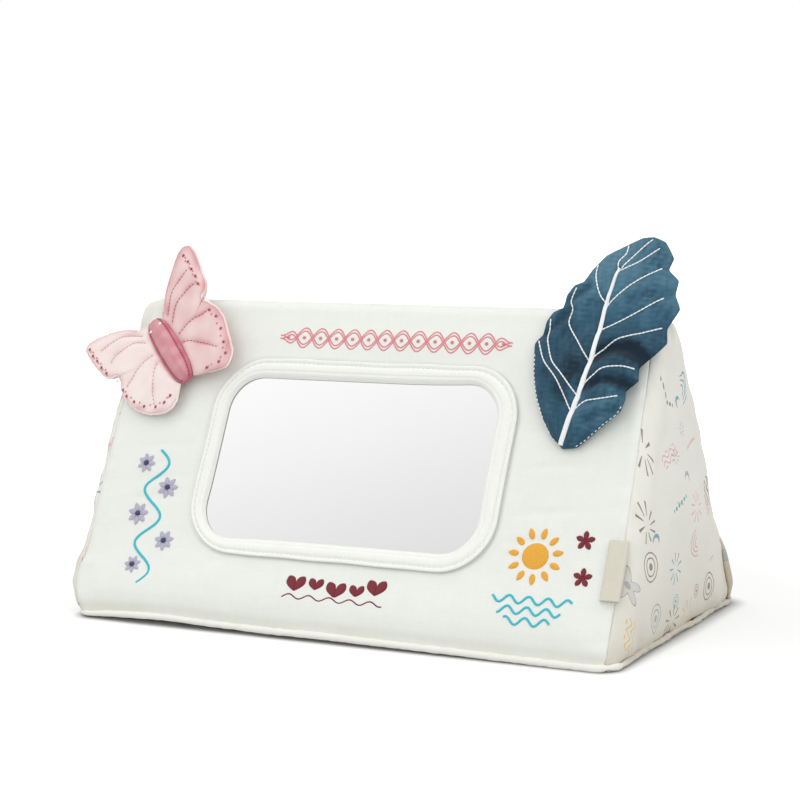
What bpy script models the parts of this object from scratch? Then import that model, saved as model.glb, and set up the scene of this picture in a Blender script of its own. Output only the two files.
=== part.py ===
"""Baby floor mirror: a soft fabric-covered wedge with a mirror in its front slope,
a padded frame round the mirror, a stuffed butterfly, a padded leaf and a folded label.

Frame: X along the length, -Y towards the mirror side, +Z up.
The origin is the centre of the flat base, on the floor. Metres.
"""
import math

import bmesh
import bpy
import numpy as np
from mathutils import Matrix, Vector

# Wedge
LENGTH = 0.330
DEPTH = 0.1815
PEAK_HEIGHT = 0.1772
RIDGE_RADIUS = 0.0082
RIDGE_END_RADIUS = 0.004
END_CORNER_RADIUS = 0.012
END_BULGE = 0.0045
RIDGE_DRAW = 0.0055
DRAW_RUN = 0.030
LEFT_FOOT_DRAW = 0.005
LEFT_FOOT_RUN = 0.018
FRONT_CROWN = 0.001
CROWN_RUN = 0.022
SEAM_CORNER_SHARE = 0.27
RIM_CORNER_SHARE = 0.05
SLOPE_SHARE = 0.8
FOOT_SHARES = (0, 0.045, 0.09)

# Fabric, padding and clearances
COVER = 0.0015
FABRIC = 0.0006
GAP = 0.0003
SEAM_GAP = 0.0006
OVERRUN = 0.004
WELD = 0.00001

# Base
BASE_THICKNESS = 0.0015
PIPING_DIAMETER = 0.0046
PIPING_MOUTH_DEG = 70.0

# Mirror, pocket and frame
OPENING_WIDTH = 0.164
OPENING_HEIGHT = 0.092
OPENING_RADIUS = 0.020
OPENING_SHIFT = -0.003
OPENING_RISE = 0.0985
MIRROR_LIP = 0.006
MIRROR_THICKNESS = 0.0015
BACKING_THICKNESS = 0.002
LINING_THICKNESS = 0.0006
FRAME_BAND = 0.0092
FRAME_RAISE = 0.0033
FRAME_FABRIC = 0.0008
CORNER_STEPS = 6

# Butterfly
BUTTERFLY_FROM_END = 0.0394
BUTTERFLY_RISE = 0.1534
BUTTERFLY_LEAN_DEG = 42.5
BODY_LENGTH = 0.046
BODY_WIDTH = 0.014
BODY_THICKNESS = 0.011
BODY_ROUND_SHARE = 0.75
BODY_SLIDE = 0.0013
WING_ROOT_LENGTH = 0.043
WING_REACH = 0.0385
WING_SPAN = 0.047
WING_FRONT_PUFF = 0.0020
WING_BACK_PUFF = 0.0012
LEFT_WING_TILT_DEG = -8.0
LEFT_WING_SWEEP_DEG = 0.0
RIGHT_WING_TILT_DEG = 7.0
RIGHT_WING_SWEEP_DEG = 7.0
WING_OUTLINE_SHARES = (
    (0.06, 0.53), (0.21, 0.67), (0.39, 0.78), (0.57, 0.86), (0.75, 0.95), (0.90, 1.00),
    (1.00, 0.95), (1.00, 0.77), (0.96, 0.60), (0.90, 0.44), (0.81, 0.34), (0.70, 0.285),
    (0.75, 0.20), (0.81, 0.075), (0.81, -0.064), (0.77, -0.21), (0.68, -0.36), (0.55, -0.50),
    (0.39, -0.585), (0.23, -0.60), (0.09, -0.53),
)

# Leaf
LEAF_HINGE_FROM_END = 0.027
LEAF_BASE_IN = 0.0214
LEAF_BASE_DROP = 0.0794
LEAF_LEAN_DEG = 8.6
LEAF_LENGTH = 0.1195
LEAF_HALF_WIDTH = 0.0385
LEAF_FRONT_PUFF = 0.0026
LEAF_BACK_PUFF = 0.0008
LEAF_LIFT = 0.0045
LEAF_BOW_SHARE = 0.55
FILM_THICKNESS = 0.0004
TAB_WIDTH = 0.020
TAB_THICKNESS = 0.001
TAB_TAIL = 0.006
LEAF_BASE_SHARES = (0.03, 0.0)
LEAF_TIP_SHARES = (0.33, 1.0)
LEAF_LEFT_SHARES = (
    (-0.17, 0.038), (-0.37, 0.105), (-0.57, 0.195), (-0.73, 0.305), (-0.845, 0.425), (-0.78, 0.475),
    (-0.79, 0.54), (-0.74, 0.585), (-0.62, 0.61), (-0.63, 0.67), (-0.575, 0.72), (-0.455, 0.745),
    (-0.39, 0.805), (-0.26, 0.88), (-0.03, 0.94), (0.16, 0.985),
)
LEAF_RIGHT_SHARES = (
    (0.23, 0.02), (0.44, 0.10), (0.69, 0.20), (0.71, 0.255), (0.685, 0.29), (0.80, 0.345),
    (0.75, 0.405), (0.88, 0.475), (0.975, 0.54), (0.915, 0.605), (1.00, 0.70), (0.875, 0.76),
    (0.855, 0.825), (0.675, 0.865), (0.69, 0.92), (0.51, 0.985),
)

# Folded label
LABEL_RISE = 0.051
LABEL_HEIGHT = 0.031
LABEL_REACH = 0.0100
LABEL_PAST_SEAM = 0.0028
LABEL_THICKNESS = 0.00045
LABEL_PUFF = 0.0026
LABEL_LIFT = 0.00035

# Derived places and angles
SLOPE = math.atan2(PEAK_HEIGHT, DEPTH / 2)
RIDGE_HEIGHT = PEAK_HEIGHT - RIDGE_RADIUS / math.cos(SLOPE) + RIDGE_RADIUS
FACE_LENGTH = math.hypot(PEAK_HEIGHT, DEPTH / 2)
CORNER_START = LENGTH / 2 - END_CORNER_RADIUS
PIPING_RADIUS = PIPING_DIAMETER / 2
WALL_FOOT = PIPING_DIAMETER + GAP + COVER * math.cos(SLOPE)
FOAM_FOOT = BASE_THICKNESS + GAP
FOAM_INSET = COVER + GAP
FOAM_FOOT_INSET = PIPING_DIAMETER + GAP
WINDOW_MARGIN = FRAME_FABRIC + SEAM_GAP
HIDDEN_DEPTH = COVER + GAP
QUARTER = math.pi / 2
END_ROWS = (8, 3)
END_COLUMNS = 9
CORNER_COLUMNS = 4
RIM_TURN = QUARTER * RIM_CORNER_SHARE


def face_frame(across, rise, lift):
    """The front slope's own frame: X along the length, Y up the slope, Z out of the face."""
    along = Vector((1, 0, 0))
    up = Vector((0, math.cos(SLOPE), math.sin(SLOPE)))
    out = along.cross(up)
    origin = Vector((across, -DEPTH / 2, 0)) + up * rise + out * lift
    turned = Matrix((along, up, out)).transposed().to_4x4()
    return Matrix.Translation(origin) @ turned


def soft_step(value):
    """Smooth rise from 0 to 1."""
    value = min(max(value, 0.0), 1.0)
    return value * value * (3 - 2 * value)


def smooth_path(points, count):
    """Evenly spaced points on a Catmull-Rom curve through the given points."""
    points = np.asarray(points, float)
    padded = np.vstack([2 * points[0] - points[1], points, 2 * points[-1] - points[-2]])
    steps = np.linspace(0, 1, 9)[:, None]
    runs = []
    for before, start, end, after in zip(padded, padded[1:], padded[2:], padded[3:]):
        slope_in = (end - before) / 2
        slope_out = (after - start) / 2
        square, cube = steps**2, steps**3
        runs.append(
            (2 * cube - 3 * square + 1) * start
            + (cube - 2 * square + steps) * slope_in
            + (3 * square - 2 * cube) * end
            + (cube - square) * slope_out
        )
    curve = np.vstack(runs)
    lengths = np.concatenate([[0.0], np.cumsum(np.linalg.norm(np.diff(curve, axis=0), axis=1))])
    even = np.linspace(0, lengths[-1], count)
    return np.stack([np.interp(even, lengths, column) for column in curve.T], axis=1)


def make_material(name, colour, roughness, metallic=0.0):
    material = bpy.data.materials.new(name)
    material.use_nodes = True
    shader = material.node_tree.nodes["Principled BSDF"]
    shader.inputs["Base Color"].default_value = (*colour, 1.0)
    shader.inputs["Roughness"].default_value = roughness
    shader.inputs["Metallic"].default_value = metallic
    return material


def add_object(name, mesh, collection, material=None, parent=None, frame=None):
    """Put a mesh in the scene as one smooth-shaded, named piece."""
    made = bpy.data.objects.new(name, mesh)
    collection.objects.link(made)
    if material:
        mesh.materials.append(material)
    mesh.shade_smooth()
    mesh.set_sharp_from_angle(angle=QUARTER / 2)
    if parent:
        made.parent = parent
    if frame:
        made.matrix_world = frame
    return made


def finish_mesh(name, form, outward=False):
    """Weld poles and closed seams, drop collapsed faces and return the mesh."""
    bmesh.ops.remove_doubles(form, verts=form.verts, dist=WELD)
    bmesh.ops.dissolve_degenerate(form, edges=form.edges, dist=WELD)
    if outward:
        bmesh.ops.recalc_face_normals(form, faces=form.faces)
    mesh = bpy.data.meshes.new(name)
    form.to_mesh(mesh)
    form.free()
    return mesh


def add_sheet(form, columns, rows, place):
    """A grid whose vertices are placed by a formula of its column and row values."""
    last_column, last_row = len(columns) - 1, len(rows) - 1
    made = bmesh.ops.create_grid(form, x_segments=last_column, y_segments=last_row, size=1)
    for vertex in made["verts"]:
        column = round((vertex.co.x + 1) / 2 * last_column)
        row = round((vertex.co.y + 1) / 2 * last_row)
        vertex.co = place(columns[column], rows[row])


def sheet_mesh(name, columns, rows, place):
    form = bmesh.new()
    add_sheet(form, columns, rows, place)
    return finish_mesh(name, form)


def lens_mesh(name, columns, rows, place_top, place_bottom):
    """A closed filling: two sheets that meet along their edges."""
    form = bmesh.new()
    add_sheet(form, columns, rows, place_top)
    add_sheet(form, columns, rows, place_bottom)
    return finish_mesh(name, form, outward=True)


def thicken(made, thickness, inwards=True):
    shell = made.modifiers.new("Thickness", "SOLIDIFY")
    shell.thickness = thickness
    shell.offset = -1 if inwards else 1
    return shell


def cut(made, cutter):
    boolean = made.modifiers.new("Cut", "BOOLEAN")
    boolean.operation = "DIFFERENCE"
    boolean.object = cutter
    cutter.hide_render = True
    cutter.display_type = "WIRE"


def rounded_plate(width, height, radius, thickness):
    """A flat plate with round corners, centred on its own middle."""
    form = bmesh.new()
    bmesh.ops.create_cube(form, size=1)
    bmesh.ops.scale(form, vec=(width, height, thickness), verts=form.verts)
    upright = [edge for edge in form.edges if abs(edge.verts[0].co.z - edge.verts[1].co.z) > thickness / 2]
    bmesh.ops.bevel(form, geom=upright, offset=radius, segments=CORNER_STEPS, profile=0.5, affect="EDGES")
    return finish_mesh("rounded plate", form)


def rounded_path(half_width, half_height, radius):
    """Points and outward directions round a rectangle with round corners, closed on its start."""
    stations = []
    for turn in range(4):
        middle = Vector((half_width - radius, half_height - radius))
        if turn in (1, 2):
            middle.x = -middle.x
        if turn in (2, 3):
            middle.y = -middle.y
        for step in range(CORNER_STEPS + 1):
            angle = QUARTER * (turn + step / CORNER_STEPS)
            out = Vector((math.cos(angle), math.sin(angle)))
            stations.append((middle + out * radius, out))
    stations.append(stations[0])
    return stations


def swept_mesh(name, path, profile):
    """A profile of (outward, up) points carried round a closed path."""
    def place(station, point):
        spot, out = station
        flat = spot + out * point[0]
        return Vector((flat.x, flat.y, point[1]))
    return sheet_mesh(name, path, profile, place)


def ring_profile(radius, rise, start_deg, end_deg, count):
    """Points on a circle seen across the path, from one angle to another."""
    angles = np.radians(np.linspace(start_deg, end_deg, count))
    return [(radius * math.cos(angle), rise + radius * math.sin(angle)) for angle in angles]


# Wedge surfaces

def section_point(share, inset):
    """Front half of the cross-section drawn in by inset: up the slope, then round the ridge."""
    radius = RIDGE_RADIUS - (RIDGE_RADIUS - RIDGE_END_RADIUS) * inset / END_CORNER_RADIUS
    centre = PEAK_HEIGHT - (inset + radius) / math.cos(SLOPE)
    if share > SLOPE_SHARE:
        turn = SLOPE * (1 - share) / (1 - SLOPE_SHARE)
        return -radius * math.sin(turn), centre + radius * math.cos(turn)
    top = centre + radius * math.cos(SLOPE)
    height = WALL_FOOT + (top - WALL_FOOT) * share / SLOPE_SHARE
    return -(PEAK_HEIGHT - height) / math.tan(SLOPE) + inset / math.sin(SLOPE), height


def corner_station(angle, inward, side):
    """A plan station on the end corner: 0 is the long face, a quarter turn is the end."""
    radius = END_CORNER_RADIUS - inward
    return CORNER_START + radius * math.sin(angle), END_CORNER_RADIUS - radius * math.cos(angle), side


def end_stations(first_angle, inward):
    """Plan stations round one end, from the front corner to the back one."""
    angles = [first_angle, *np.linspace(first_angle + RIM_TURN, QUARTER, CORNER_COLUMNS)]
    front = [corner_station(angle, inward, 1) for angle in angles]
    across = np.linspace(1, -1, END_COLUMNS)[1:-1]
    middle = [(LENGTH / 2 - inward, END_CORNER_RADIUS, share) for share in across]
    back = [corner_station(angle, inward, -1) for angle in angles[::-1]]
    return front + middle + back


def drawn_in(across, height):
    """The stuffed ends draw in towards the ridge, and the left end's foot tucks under."""
    draw = RIDGE_DRAW * (height / RIDGE_HEIGHT) ** 2
    if across < 0:
        draw += LEFT_FOOT_DRAW * (1 - soft_step((height - WALL_FOOT) / LEFT_FOOT_RUN))
    near_end = soft_step((abs(across) - CORNER_START + DRAW_RUN) / DRAW_RUN)
    return across - math.copysign(draw * near_end, across)


def wall_point(station, share):
    """A point of the wedge's skin; station is (x, inset, side), with side 1 in front and -1 behind."""
    across, inset, side = station
    depth, height = section_point(share, inset)
    upward = min(share / SLOPE_SHARE, 1)
    bulge = END_BULGE * ((1 - side * side) * math.sin(math.pi * upward)) ** 2
    return Vector((drawn_in(across + math.copysign(bulge, across), height), depth * side, height))


def opening_distance(across, rise):
    """How far a place on the front slope lies outside the mirror frame's outer edge."""
    edge = FRAME_BAND + GAP
    out_x = max(abs(across - OPENING_SHIFT) - OPENING_WIDTH / 2 - edge, 0.0)
    out_y = max(abs(rise - OPENING_RISE) - OPENING_HEIGHT / 2 - edge, 0.0)
    return math.hypot(out_x, out_y)


def crowned_front_point(station, share):
    """The front skin, with a slight crown between the mirror frame and the seams."""
    point = wall_point(station, share)
    rise = point.z / math.sin(SLOPE)
    to_edge = min(CORNER_START - abs(point.x), rise - WALL_FOOT, FACE_LENGTH - RIDGE_RADIUS * 2 - rise)
    swell = soft_step(to_edge / CROWN_RUN) * soft_step(opening_distance(point.x, rise) / CROWN_RUN)
    return point + face_frame(0, 0, 0).to_3x3().col[2] * (FRONT_CROWN * swell)


def wall_rows(slope_steps, ridge_steps, last_share=1.0):
    slope = np.linspace(FOOT_SHARES[-1], SLOPE_SHARE, slope_steps + 1)[1:]
    ridge = np.linspace(SLOPE_SHARE, last_share, ridge_steps + 1)[1:]
    return [*FOOT_SHARES, *slope, *ridge]


def face_stations(seam_angle, side, steps):
    """Plan stations along one long face, between the seams near its two ends."""
    edge = [corner_station(seam_angle - turn, 0, side) for turn in (RIM_TURN, 0)]
    mirrored = [(-x, inset, side) for x, inset, side in edge[::-1]]
    inner = np.linspace(-CORNER_START, CORNER_START, steps)
    return [*mirrored, *((x, 0, side) for x in inner), *edge]


def seam_angle(gap):
    """Where round the corner a panel stops, to leave its half of the seam gap."""
    return QUARTER * SEAM_CORNER_SHARE + gap / END_CORNER_RADIUS


def build_wedge(parts, cutters, colours):
    ridge_stop = 1 - (SEAM_GAP / 2 / RIDGE_RADIUS) / SLOPE * (1 - SLOPE_SHARE)
    rows = wall_rows(10, 4, ridge_stop)

    front = add_object(
        "front_panel",
        sheet_mesh("front panel", face_stations(seam_angle(-SEAM_GAP / 2), 1, 21), rows, crowned_front_point),
        parts, colours["cover"],
    )
    thicken(front, COVER)
    window = add_object(
        "window_cutter",
        rounded_plate(
            OPENING_WIDTH + WINDOW_MARGIN * 2, OPENING_HEIGHT + WINDOW_MARGIN * 2,
            OPENING_RADIUS + WINDOW_MARGIN, (COVER + OVERRUN) * 2,
        ),
        cutters, frame=face_frame(OPENING_SHIFT, OPENING_RISE, 0),
    )
    cut(front, window)

    back_stations = face_stations(seam_angle(-SEAM_GAP / 2), -1, 11)[::-1]
    back = add_object(
        "back_panel", sheet_mesh("back panel", back_stations, wall_rows(6, 4, ridge_stop), wall_point),
        parts, colours["print"],
    )
    thicken(back, COVER)

    ends = end_stations(seam_angle(SEAM_GAP / 2), 0)
    mirrored = [(-x, inset, side) for x, inset, side in ends[::-1]]
    for name, stations in (("right_end_panel", ends), ("left_end_panel", mirrored)):
        panel = add_object(
            name, sheet_mesh(name, stations, wall_rows(*END_ROWS), wall_point), parts, colours["print"],
        )
        thicken(panel, COVER)

    foam = add_object("foam_wedge", foam_mesh(), parts, colours["foam"])
    stack = MIRROR_THICKNESS + BACKING_THICKNESS + LINING_THICKNESS + GAP * 3
    pocket = add_object(
        "pocket_cutter",
        rounded_plate(
            OPENING_WIDTH + (MIRROR_LIP + SEAM_GAP) * 2, OPENING_HEIGHT + (MIRROR_LIP + SEAM_GAP) * 2,
            OPENING_RADIUS + MIRROR_LIP, (stack + OVERRUN) * 2,
        ),
        cutters, frame=face_frame(OPENING_SHIFT, OPENING_RISE, OVERRUN - HIDDEN_DEPTH),
    )
    cut(foam, pocket)


def foam_mesh():
    """The block under the covers: one loop of plan stations, closed over a foot inside the piping."""
    def loop(inward):
        right = end_stations(0, inward)
        left = [(-x, inset, side) for x, inset, side in right[::-1]]
        return [*left, *right, left[0]]

    walls = loop(FOAM_INSET)
    foot = loop(FOAM_FOOT_INSET)
    foot_heights = {-2: FOAM_FOOT, -1: PIPING_DIAMETER + GAP}

    def place(index, share):
        if share < 0:
            point = wall_point(foot[index], 0)
            return Vector((point.x, point.y, foot_heights[share]))
        return wall_point(walls[index], share)

    form = bmesh.new()
    add_sheet(form, range(len(walls)), [*foot_heights, *wall_rows(*END_ROWS)], place)
    bmesh.ops.remove_doubles(form, verts=form.verts, dist=WELD)
    rim = [edge for edge in form.edges if edge.is_boundary]
    bmesh.ops.holes_fill(form, edges=rim, sides=len(rim))
    return finish_mesh("foam wedge", form, outward=True)


def build_base(parts, colours):
    inner = PIPING_DIAMETER + GAP
    base_length = LENGTH - LEFT_FOOT_DRAW
    frame = Matrix.Translation((LEFT_FOOT_DRAW / 2, 0, 0))
    plate = rounded_plate(base_length - inner * 2, DEPTH - inner * 2, END_CORNER_RADIUS - inner, BASE_THICKNESS)
    seat = frame @ Matrix.Translation((0, 0, BASE_THICKNESS / 2))
    add_object("base_panel", plate, parts, colours["print"], frame=seat)

    radius = END_CORNER_RADIUS - PIPING_RADIUS
    path = rounded_path(base_length / 2 - PIPING_RADIUS, DEPTH / 2 - PIPING_RADIUS, radius)
    mouth = PIPING_MOUTH_DEG / 2
    sleeve_profile = ring_profile(PIPING_RADIUS, PIPING_RADIUS, mouth - 180, 180 - mouth, 9)
    sleeve = add_object(
        "base_piping", swept_mesh("base piping", path, sleeve_profile), parts, colours["cover"], frame=frame
    )
    thicken(sleeve, FABRIC)

    cord_radius = PIPING_RADIUS - FABRIC - GAP
    cord_profile = ring_profile(cord_radius, PIPING_RADIUS, -180, 180, 7)
    add_object("piping_cord", swept_mesh("piping cord", path, cord_profile), parts, colours["filling"], frame=frame)


def build_mirror(parts, colours):
    """Mirror, backing and pocket lining lie behind the window; the padded frame covers its edge."""
    depth = HIDDEN_DEPTH
    for name, thickness, colour in (
        ("mirror_sheet", MIRROR_THICKNESS, "mirror"),
        ("mirror_backing", BACKING_THICKNESS, "board"),
        ("mirror_pocket_lining", LINING_THICKNESS, "lining"),
    ):
        plate = rounded_plate(
            OPENING_WIDTH + MIRROR_LIP * 2, OPENING_HEIGHT + MIRROR_LIP * 2, OPENING_RADIUS + MIRROR_LIP, thickness
        )
        frame = face_frame(OPENING_SHIFT, OPENING_RISE, -depth - thickness / 2)
        add_object(name, plate, parts, colours[colour], frame=frame)
        depth += thickness + GAP

    path = rounded_path(OPENING_WIDTH / 2, OPENING_HEIGHT / 2, OPENING_RADIUS)
    frame = face_frame(OPENING_SHIFT, OPENING_RISE, 0)
    band, top = FRAME_BAND, FRAME_RAISE
    cover_profile = [
        (band, GAP), (band, top * 0.5), (band * 0.8, top * 0.92), (band * 0.5, top),
        (band * 0.2, top * 0.9), (0, top * 0.55), (0, GAP - HIDDEN_DEPTH),
    ]
    ring = add_object(
        "mirror_frame_cover", swept_mesh("frame cover", path, cover_profile),
        parts, colours["cover"], frame=frame,
    )
    thicken(ring, FRAME_FABRIC)

    wall = FRAME_FABRIC + GAP
    inner, outer, crest = wall, band - wall, top - wall
    padding_profile = [
        (outer, GAP), (outer, crest * 0.55), (band * 0.5, crest), (inner, crest * 0.55), (inner, GAP), (outer, GAP),
    ]
    add_object(
        "mirror_frame_padding", swept_mesh("frame padding", path, padding_profile),
        parts, colours["filling"], frame=frame,
    )


# Butterfly

def butterfly_frame():
    """Y along the body towards the head, X across it, Z out of the front slope."""
    lift = GAP + FRONT_CROWN + SEAM_GAP / 2 + BODY_THICKNESS / 2
    seat = face_frame(BUTTERFLY_FROM_END - LENGTH / 2, BUTTERFLY_RISE, lift)
    return seat @ Matrix.Rotation(math.radians(BUTTERFLY_LEAN_DEG), 4, "Z")


def body_point(length_angle, round_angle, shrink):
    """The body is a long rounded bar: width and thickness fall off only near its two ends."""
    fall = math.cos(length_angle) ** BODY_ROUND_SHARE
    across = (BODY_WIDTH / 2 - shrink) * fall * math.cos(round_angle)
    high = (BODY_THICKNESS / 2 - shrink) * fall * math.sin(round_angle)
    reach = math.copysign(abs(math.sin(length_angle)) ** BODY_ROUND_SHARE, length_angle)
    return Vector((across, (BODY_LENGTH / 2 - shrink) * reach, high))


def build_body(parts, frame, colours):
    lengths = np.linspace(-QUARTER, QUARTER, 13)
    rounds = np.linspace(math.pi, 0, 7)
    for name, turn in (("butterfly_body_front", 0), ("butterfly_body_back", math.pi)):
        lift = Vector((0, 0, SEAM_GAP / 2 if turn == 0 else -SEAM_GAP / 2))
        half = sheet_mesh(
            name, rounds, lengths, lambda r, l, turn=turn, lift=lift: body_point(l, r + turn, 0) + lift
        )
        made = add_object(name, half, parts, colours["body"], frame=frame)
        thicken(made, FABRIC)
    form = bmesh.new()
    bmesh.ops.create_uvsphere(form, u_segments=10, v_segments=8, radius=1)
    for vertex in form.verts:
        around = math.atan2(vertex.co.z, vertex.co.x)
        vertex.co = body_point(math.asin(max(-1.0, min(1.0, vertex.co.y))), around, FABRIC + GAP * 2)
    add_object(
        "butterfly_body_stuffing", finish_mesh("body stuffing", form, outward=True), parts,
        colours["filling"], frame=frame,
    )


def wing_outline(count):
    """The wing's edge from the front end of its root round to the back end, in (out, along)."""
    shares = np.array(WING_OUTLINE_SHARES) * (WING_REACH, WING_SPAN)
    return smooth_path(shares, count)


def wing_spot(outline, index, share, sweep_deg):
    """A flat place on the wing: share 0 is the root line, share 1 is the outline, swept forwards."""
    along = WING_ROOT_LENGTH * (0.5 - index / (len(outline) - 1))
    root = np.array((0.0, along))
    flat = root + (outline[index] - root) * share
    sweep = math.radians(sweep_deg) * share
    out = flat[0] * math.cos(sweep) - flat[1] * math.sin(sweep)
    return Vector((out, flat[1] * math.cos(sweep) + flat[0] * math.sin(sweep), 0))


def wing_swell(index, last, share):
    """0 at the wing's edges, 1 in its middle."""
    ends = 1 - abs(2 * index / last - 1) ** 4
    return math.sqrt(ends) * math.sin(math.pi * share) ** 1.2


def build_wing(parts, name, hinge, side, sweep_deg, colours):
    """side is 1 for the wing on the mirror's side and -1 for the one on the left."""
    outline = wing_outline(27)
    last = len(outline) - 1
    # Index order runs the way that keeps each sheet's face upwards on both sides
    indices = list(range(last, -1, -1)) if side > 0 else list(range(last + 1))
    shares = (0, 0.2, 0.45, 0.7, 0.9, 1)

    def surface(puff, direction):
        def place(share, index):
            spot = wing_spot(outline, index, share, sweep_deg)
            lift = SEAM_GAP / 2 + puff * wing_swell(index, last, share)
            return Vector((spot.x * side, spot.y, lift * direction))
        return place

    for layer, puff, direction in (("front", WING_FRONT_PUFF, 1), ("back", WING_BACK_PUFF, -1)):
        made = add_object(
            f"{name}_{layer}", sheet_mesh(layer, shares, indices, surface(puff, direction)),
            parts, colours["wing"], parent=hinge,
        )
        thicken(made, FABRIC, inwards=direction < 0)

    first_share, last_share = 0.16, 0.92
    inner_indices = indices[2:-2:2]

    def filling(puff, direction):
        def place(share, index):
            spot = wing_spot(outline, index, first_share + (last_share - first_share) * share, sweep_deg)
            ends = abs(2 * inner_indices.index(index) / (len(inner_indices) - 1) - 1)
            swell = math.sqrt(1 - ends**2) * math.sin(math.pi * share)
            return Vector((spot.x * side, spot.y, (puff - GAP * 2) * swell * direction))
        return place

    wadding = lens_mesh(
        "wing wadding", (0, 0.25, 0.5, 0.75, 1), inner_indices,
        filling(WING_FRONT_PUFF, 1), filling(WING_BACK_PUFF, -1),
    )
    add_object(f"{name}_wadding", wadding, parts, colours["filling"], parent=hinge)


def build_butterfly(parts, colours):
    frame = butterfly_frame()
    build_body(parts, frame @ Matrix.Translation((0, BODY_SLIDE, 0)), colours)
    axis_out = BODY_WIDTH / 2 + GAP + FABRIC
    for name, side, tilt, sweep in (
        ("left_wing", -1, LEFT_WING_TILT_DEG, LEFT_WING_SWEEP_DEG),
        ("right_wing", 1, RIGHT_WING_TILT_DEG, RIGHT_WING_SWEEP_DEG),
    ):
        hinge = bpy.data.objects.new(f"{name}_hinge", None)
        parts.objects.link(hinge)
        turned = Matrix.Rotation(math.radians(-side * tilt), 4, "Y")
        hinge.matrix_world = frame @ Matrix.Translation((axis_out * side, 0, 0)) @ turned
        build_wing(parts, name, hinge, side, sweep, colours)


# Leaf

def leaf_edges(count):
    """The leaf's two edges from base to tip, in (side, along)."""
    size = (LEAF_HALF_WIDTH, LEAF_LENGTH)
    edges = []
    for shares in (LEAF_LEFT_SHARES, LEAF_RIGHT_SHARES):
        edges.append(smooth_path(np.array((LEAF_BASE_SHARES, *shares, LEAF_TIP_SHARES)) * size, count))
    return edges


def leaf_spot(edges, index, share):
    """A place on the leaf's middle surface: share -1 is the left edge, 0 the rib, 1 the right edge."""
    left, right = (edge[index] for edge in edges)
    last = len(edges[0]) - 1
    along = (left[1] + right[1]) / 2
    tip_turn = soft_step((along / LEAF_LENGTH - 0.8) / 0.2)
    rib = np.array((LEAF_HALF_WIDTH * LEAF_TIP_SHARES[0] * tip_turn, along))
    if index in (0, last):
        rib = left
    flat = rib + ((left if share < 0 else right) - rib) * abs(share)
    lean = math.radians(LEAF_LEAN_DEG)
    across = flat[0] * math.cos(lean) + flat[1] * math.sin(lean)
    up = flat[1] * math.cos(lean) - flat[0] * math.sin(lean)
    below = min(flat[1] / LEAF_LENGTH / LEAF_BOW_SHARE, 1)
    bow = math.sin(math.pi * below) * (0.6 + 0.4 * share)
    return Vector((across - LEAF_BASE_IN, up - LEAF_BASE_DROP, LEAF_LIFT * bow))


def leaf_swell(index, last, share):
    """0 all round the leaf's edge, 1 in its middle."""
    return math.sqrt((1 - share * share) * math.sin(math.pi * index / last))


def leaf_stand():
    """Height of the leaf's middle surface over its hinge axis, clear of the tab under it."""
    face = (PEAK_HEIGHT - RIDGE_HEIGHT - GAP - TAB_THICKNESS / 2) * math.cos(SLOPE)
    return face + GAP * 2 + TAB_THICKNESS + SEAM_GAP / 2 + LEAF_BACK_PUFF + FABRIC


def build_leaf(parts, colours):
    axis_height = RIDGE_HEIGHT + GAP + TAB_THICKNESS / 2
    hinge = bpy.data.objects.new("leaf_hinge", None)
    parts.objects.link(hinge)
    turned = face_frame(0, 0, 0).to_3x3().to_4x4()
    hinge.matrix_world = Matrix.Translation((LENGTH / 2 - LEAF_HINGE_FROM_END, 0, axis_height)) @ turned
    stand = leaf_stand()

    def surface(edges, lift_of):
        last = len(edges[0]) - 1

        def place(share, index):
            spot = leaf_spot(edges, index, share)
            return spot + Vector((0, 0, stand + lift_of(leaf_swell(index, last, share))))
        return place

    edges = leaf_edges(35)
    indices = range(35)
    shares = (-1, -0.85, -0.45, 0, 0.45, 0.85, 1)
    for name, puff, direction in (("leaf_front", LEAF_FRONT_PUFF, 1), ("leaf_back", LEAF_BACK_PUFF, -1)):
        place = surface(edges, lambda swell, p=puff, d=direction: (SEAM_GAP / 2 + p * swell) * d)
        made = add_object(name, sheet_mesh(name, shares, indices, place), parts, colours["leaf"], parent=hinge)
        thicken(made, FABRIC, inwards=direction < 0)

    # Filling and crackling film lie inside the covers, clear of their edges
    inner = leaf_edges(19)
    rows = range(2, 17)

    def inside(lift_of):
        def place(share, index):
            spot = leaf_spot(inner, index, share * 0.8)
            ends = abs(2 * (index - rows[0]) / (len(rows) - 1) - 1)
            return spot + Vector((0, 0, stand + lift_of(math.sqrt((1 - share * share) * (1 - ends**4)))))
        return place

    film_top = LEAF_BACK_PUFF * 0.25
    thick = LEAF_FRONT_PUFF - film_top - GAP * 3
    wadding = lens_mesh(
        "leaf wadding", (-1, -0.6, 0, 0.6, 1), rows,
        inside(lambda swell: film_top + GAP + thick * swell), inside(lambda swell: film_top + GAP),
    )
    add_object("leaf_wadding", wadding, parts, colours["filling"], parent=hinge)
    film = add_object(
        "leaf_crinkle_film", sheet_mesh("crinkle film", (-1, -0.6, 0, 0.6, 1), rows, inside(lambda swell: film_top)),
        parts, colours["film"], parent=hinge,
    )
    thicken(film, FILM_THICKNESS)
    build_tab(parts, hinge, axis_height, colours)


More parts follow.
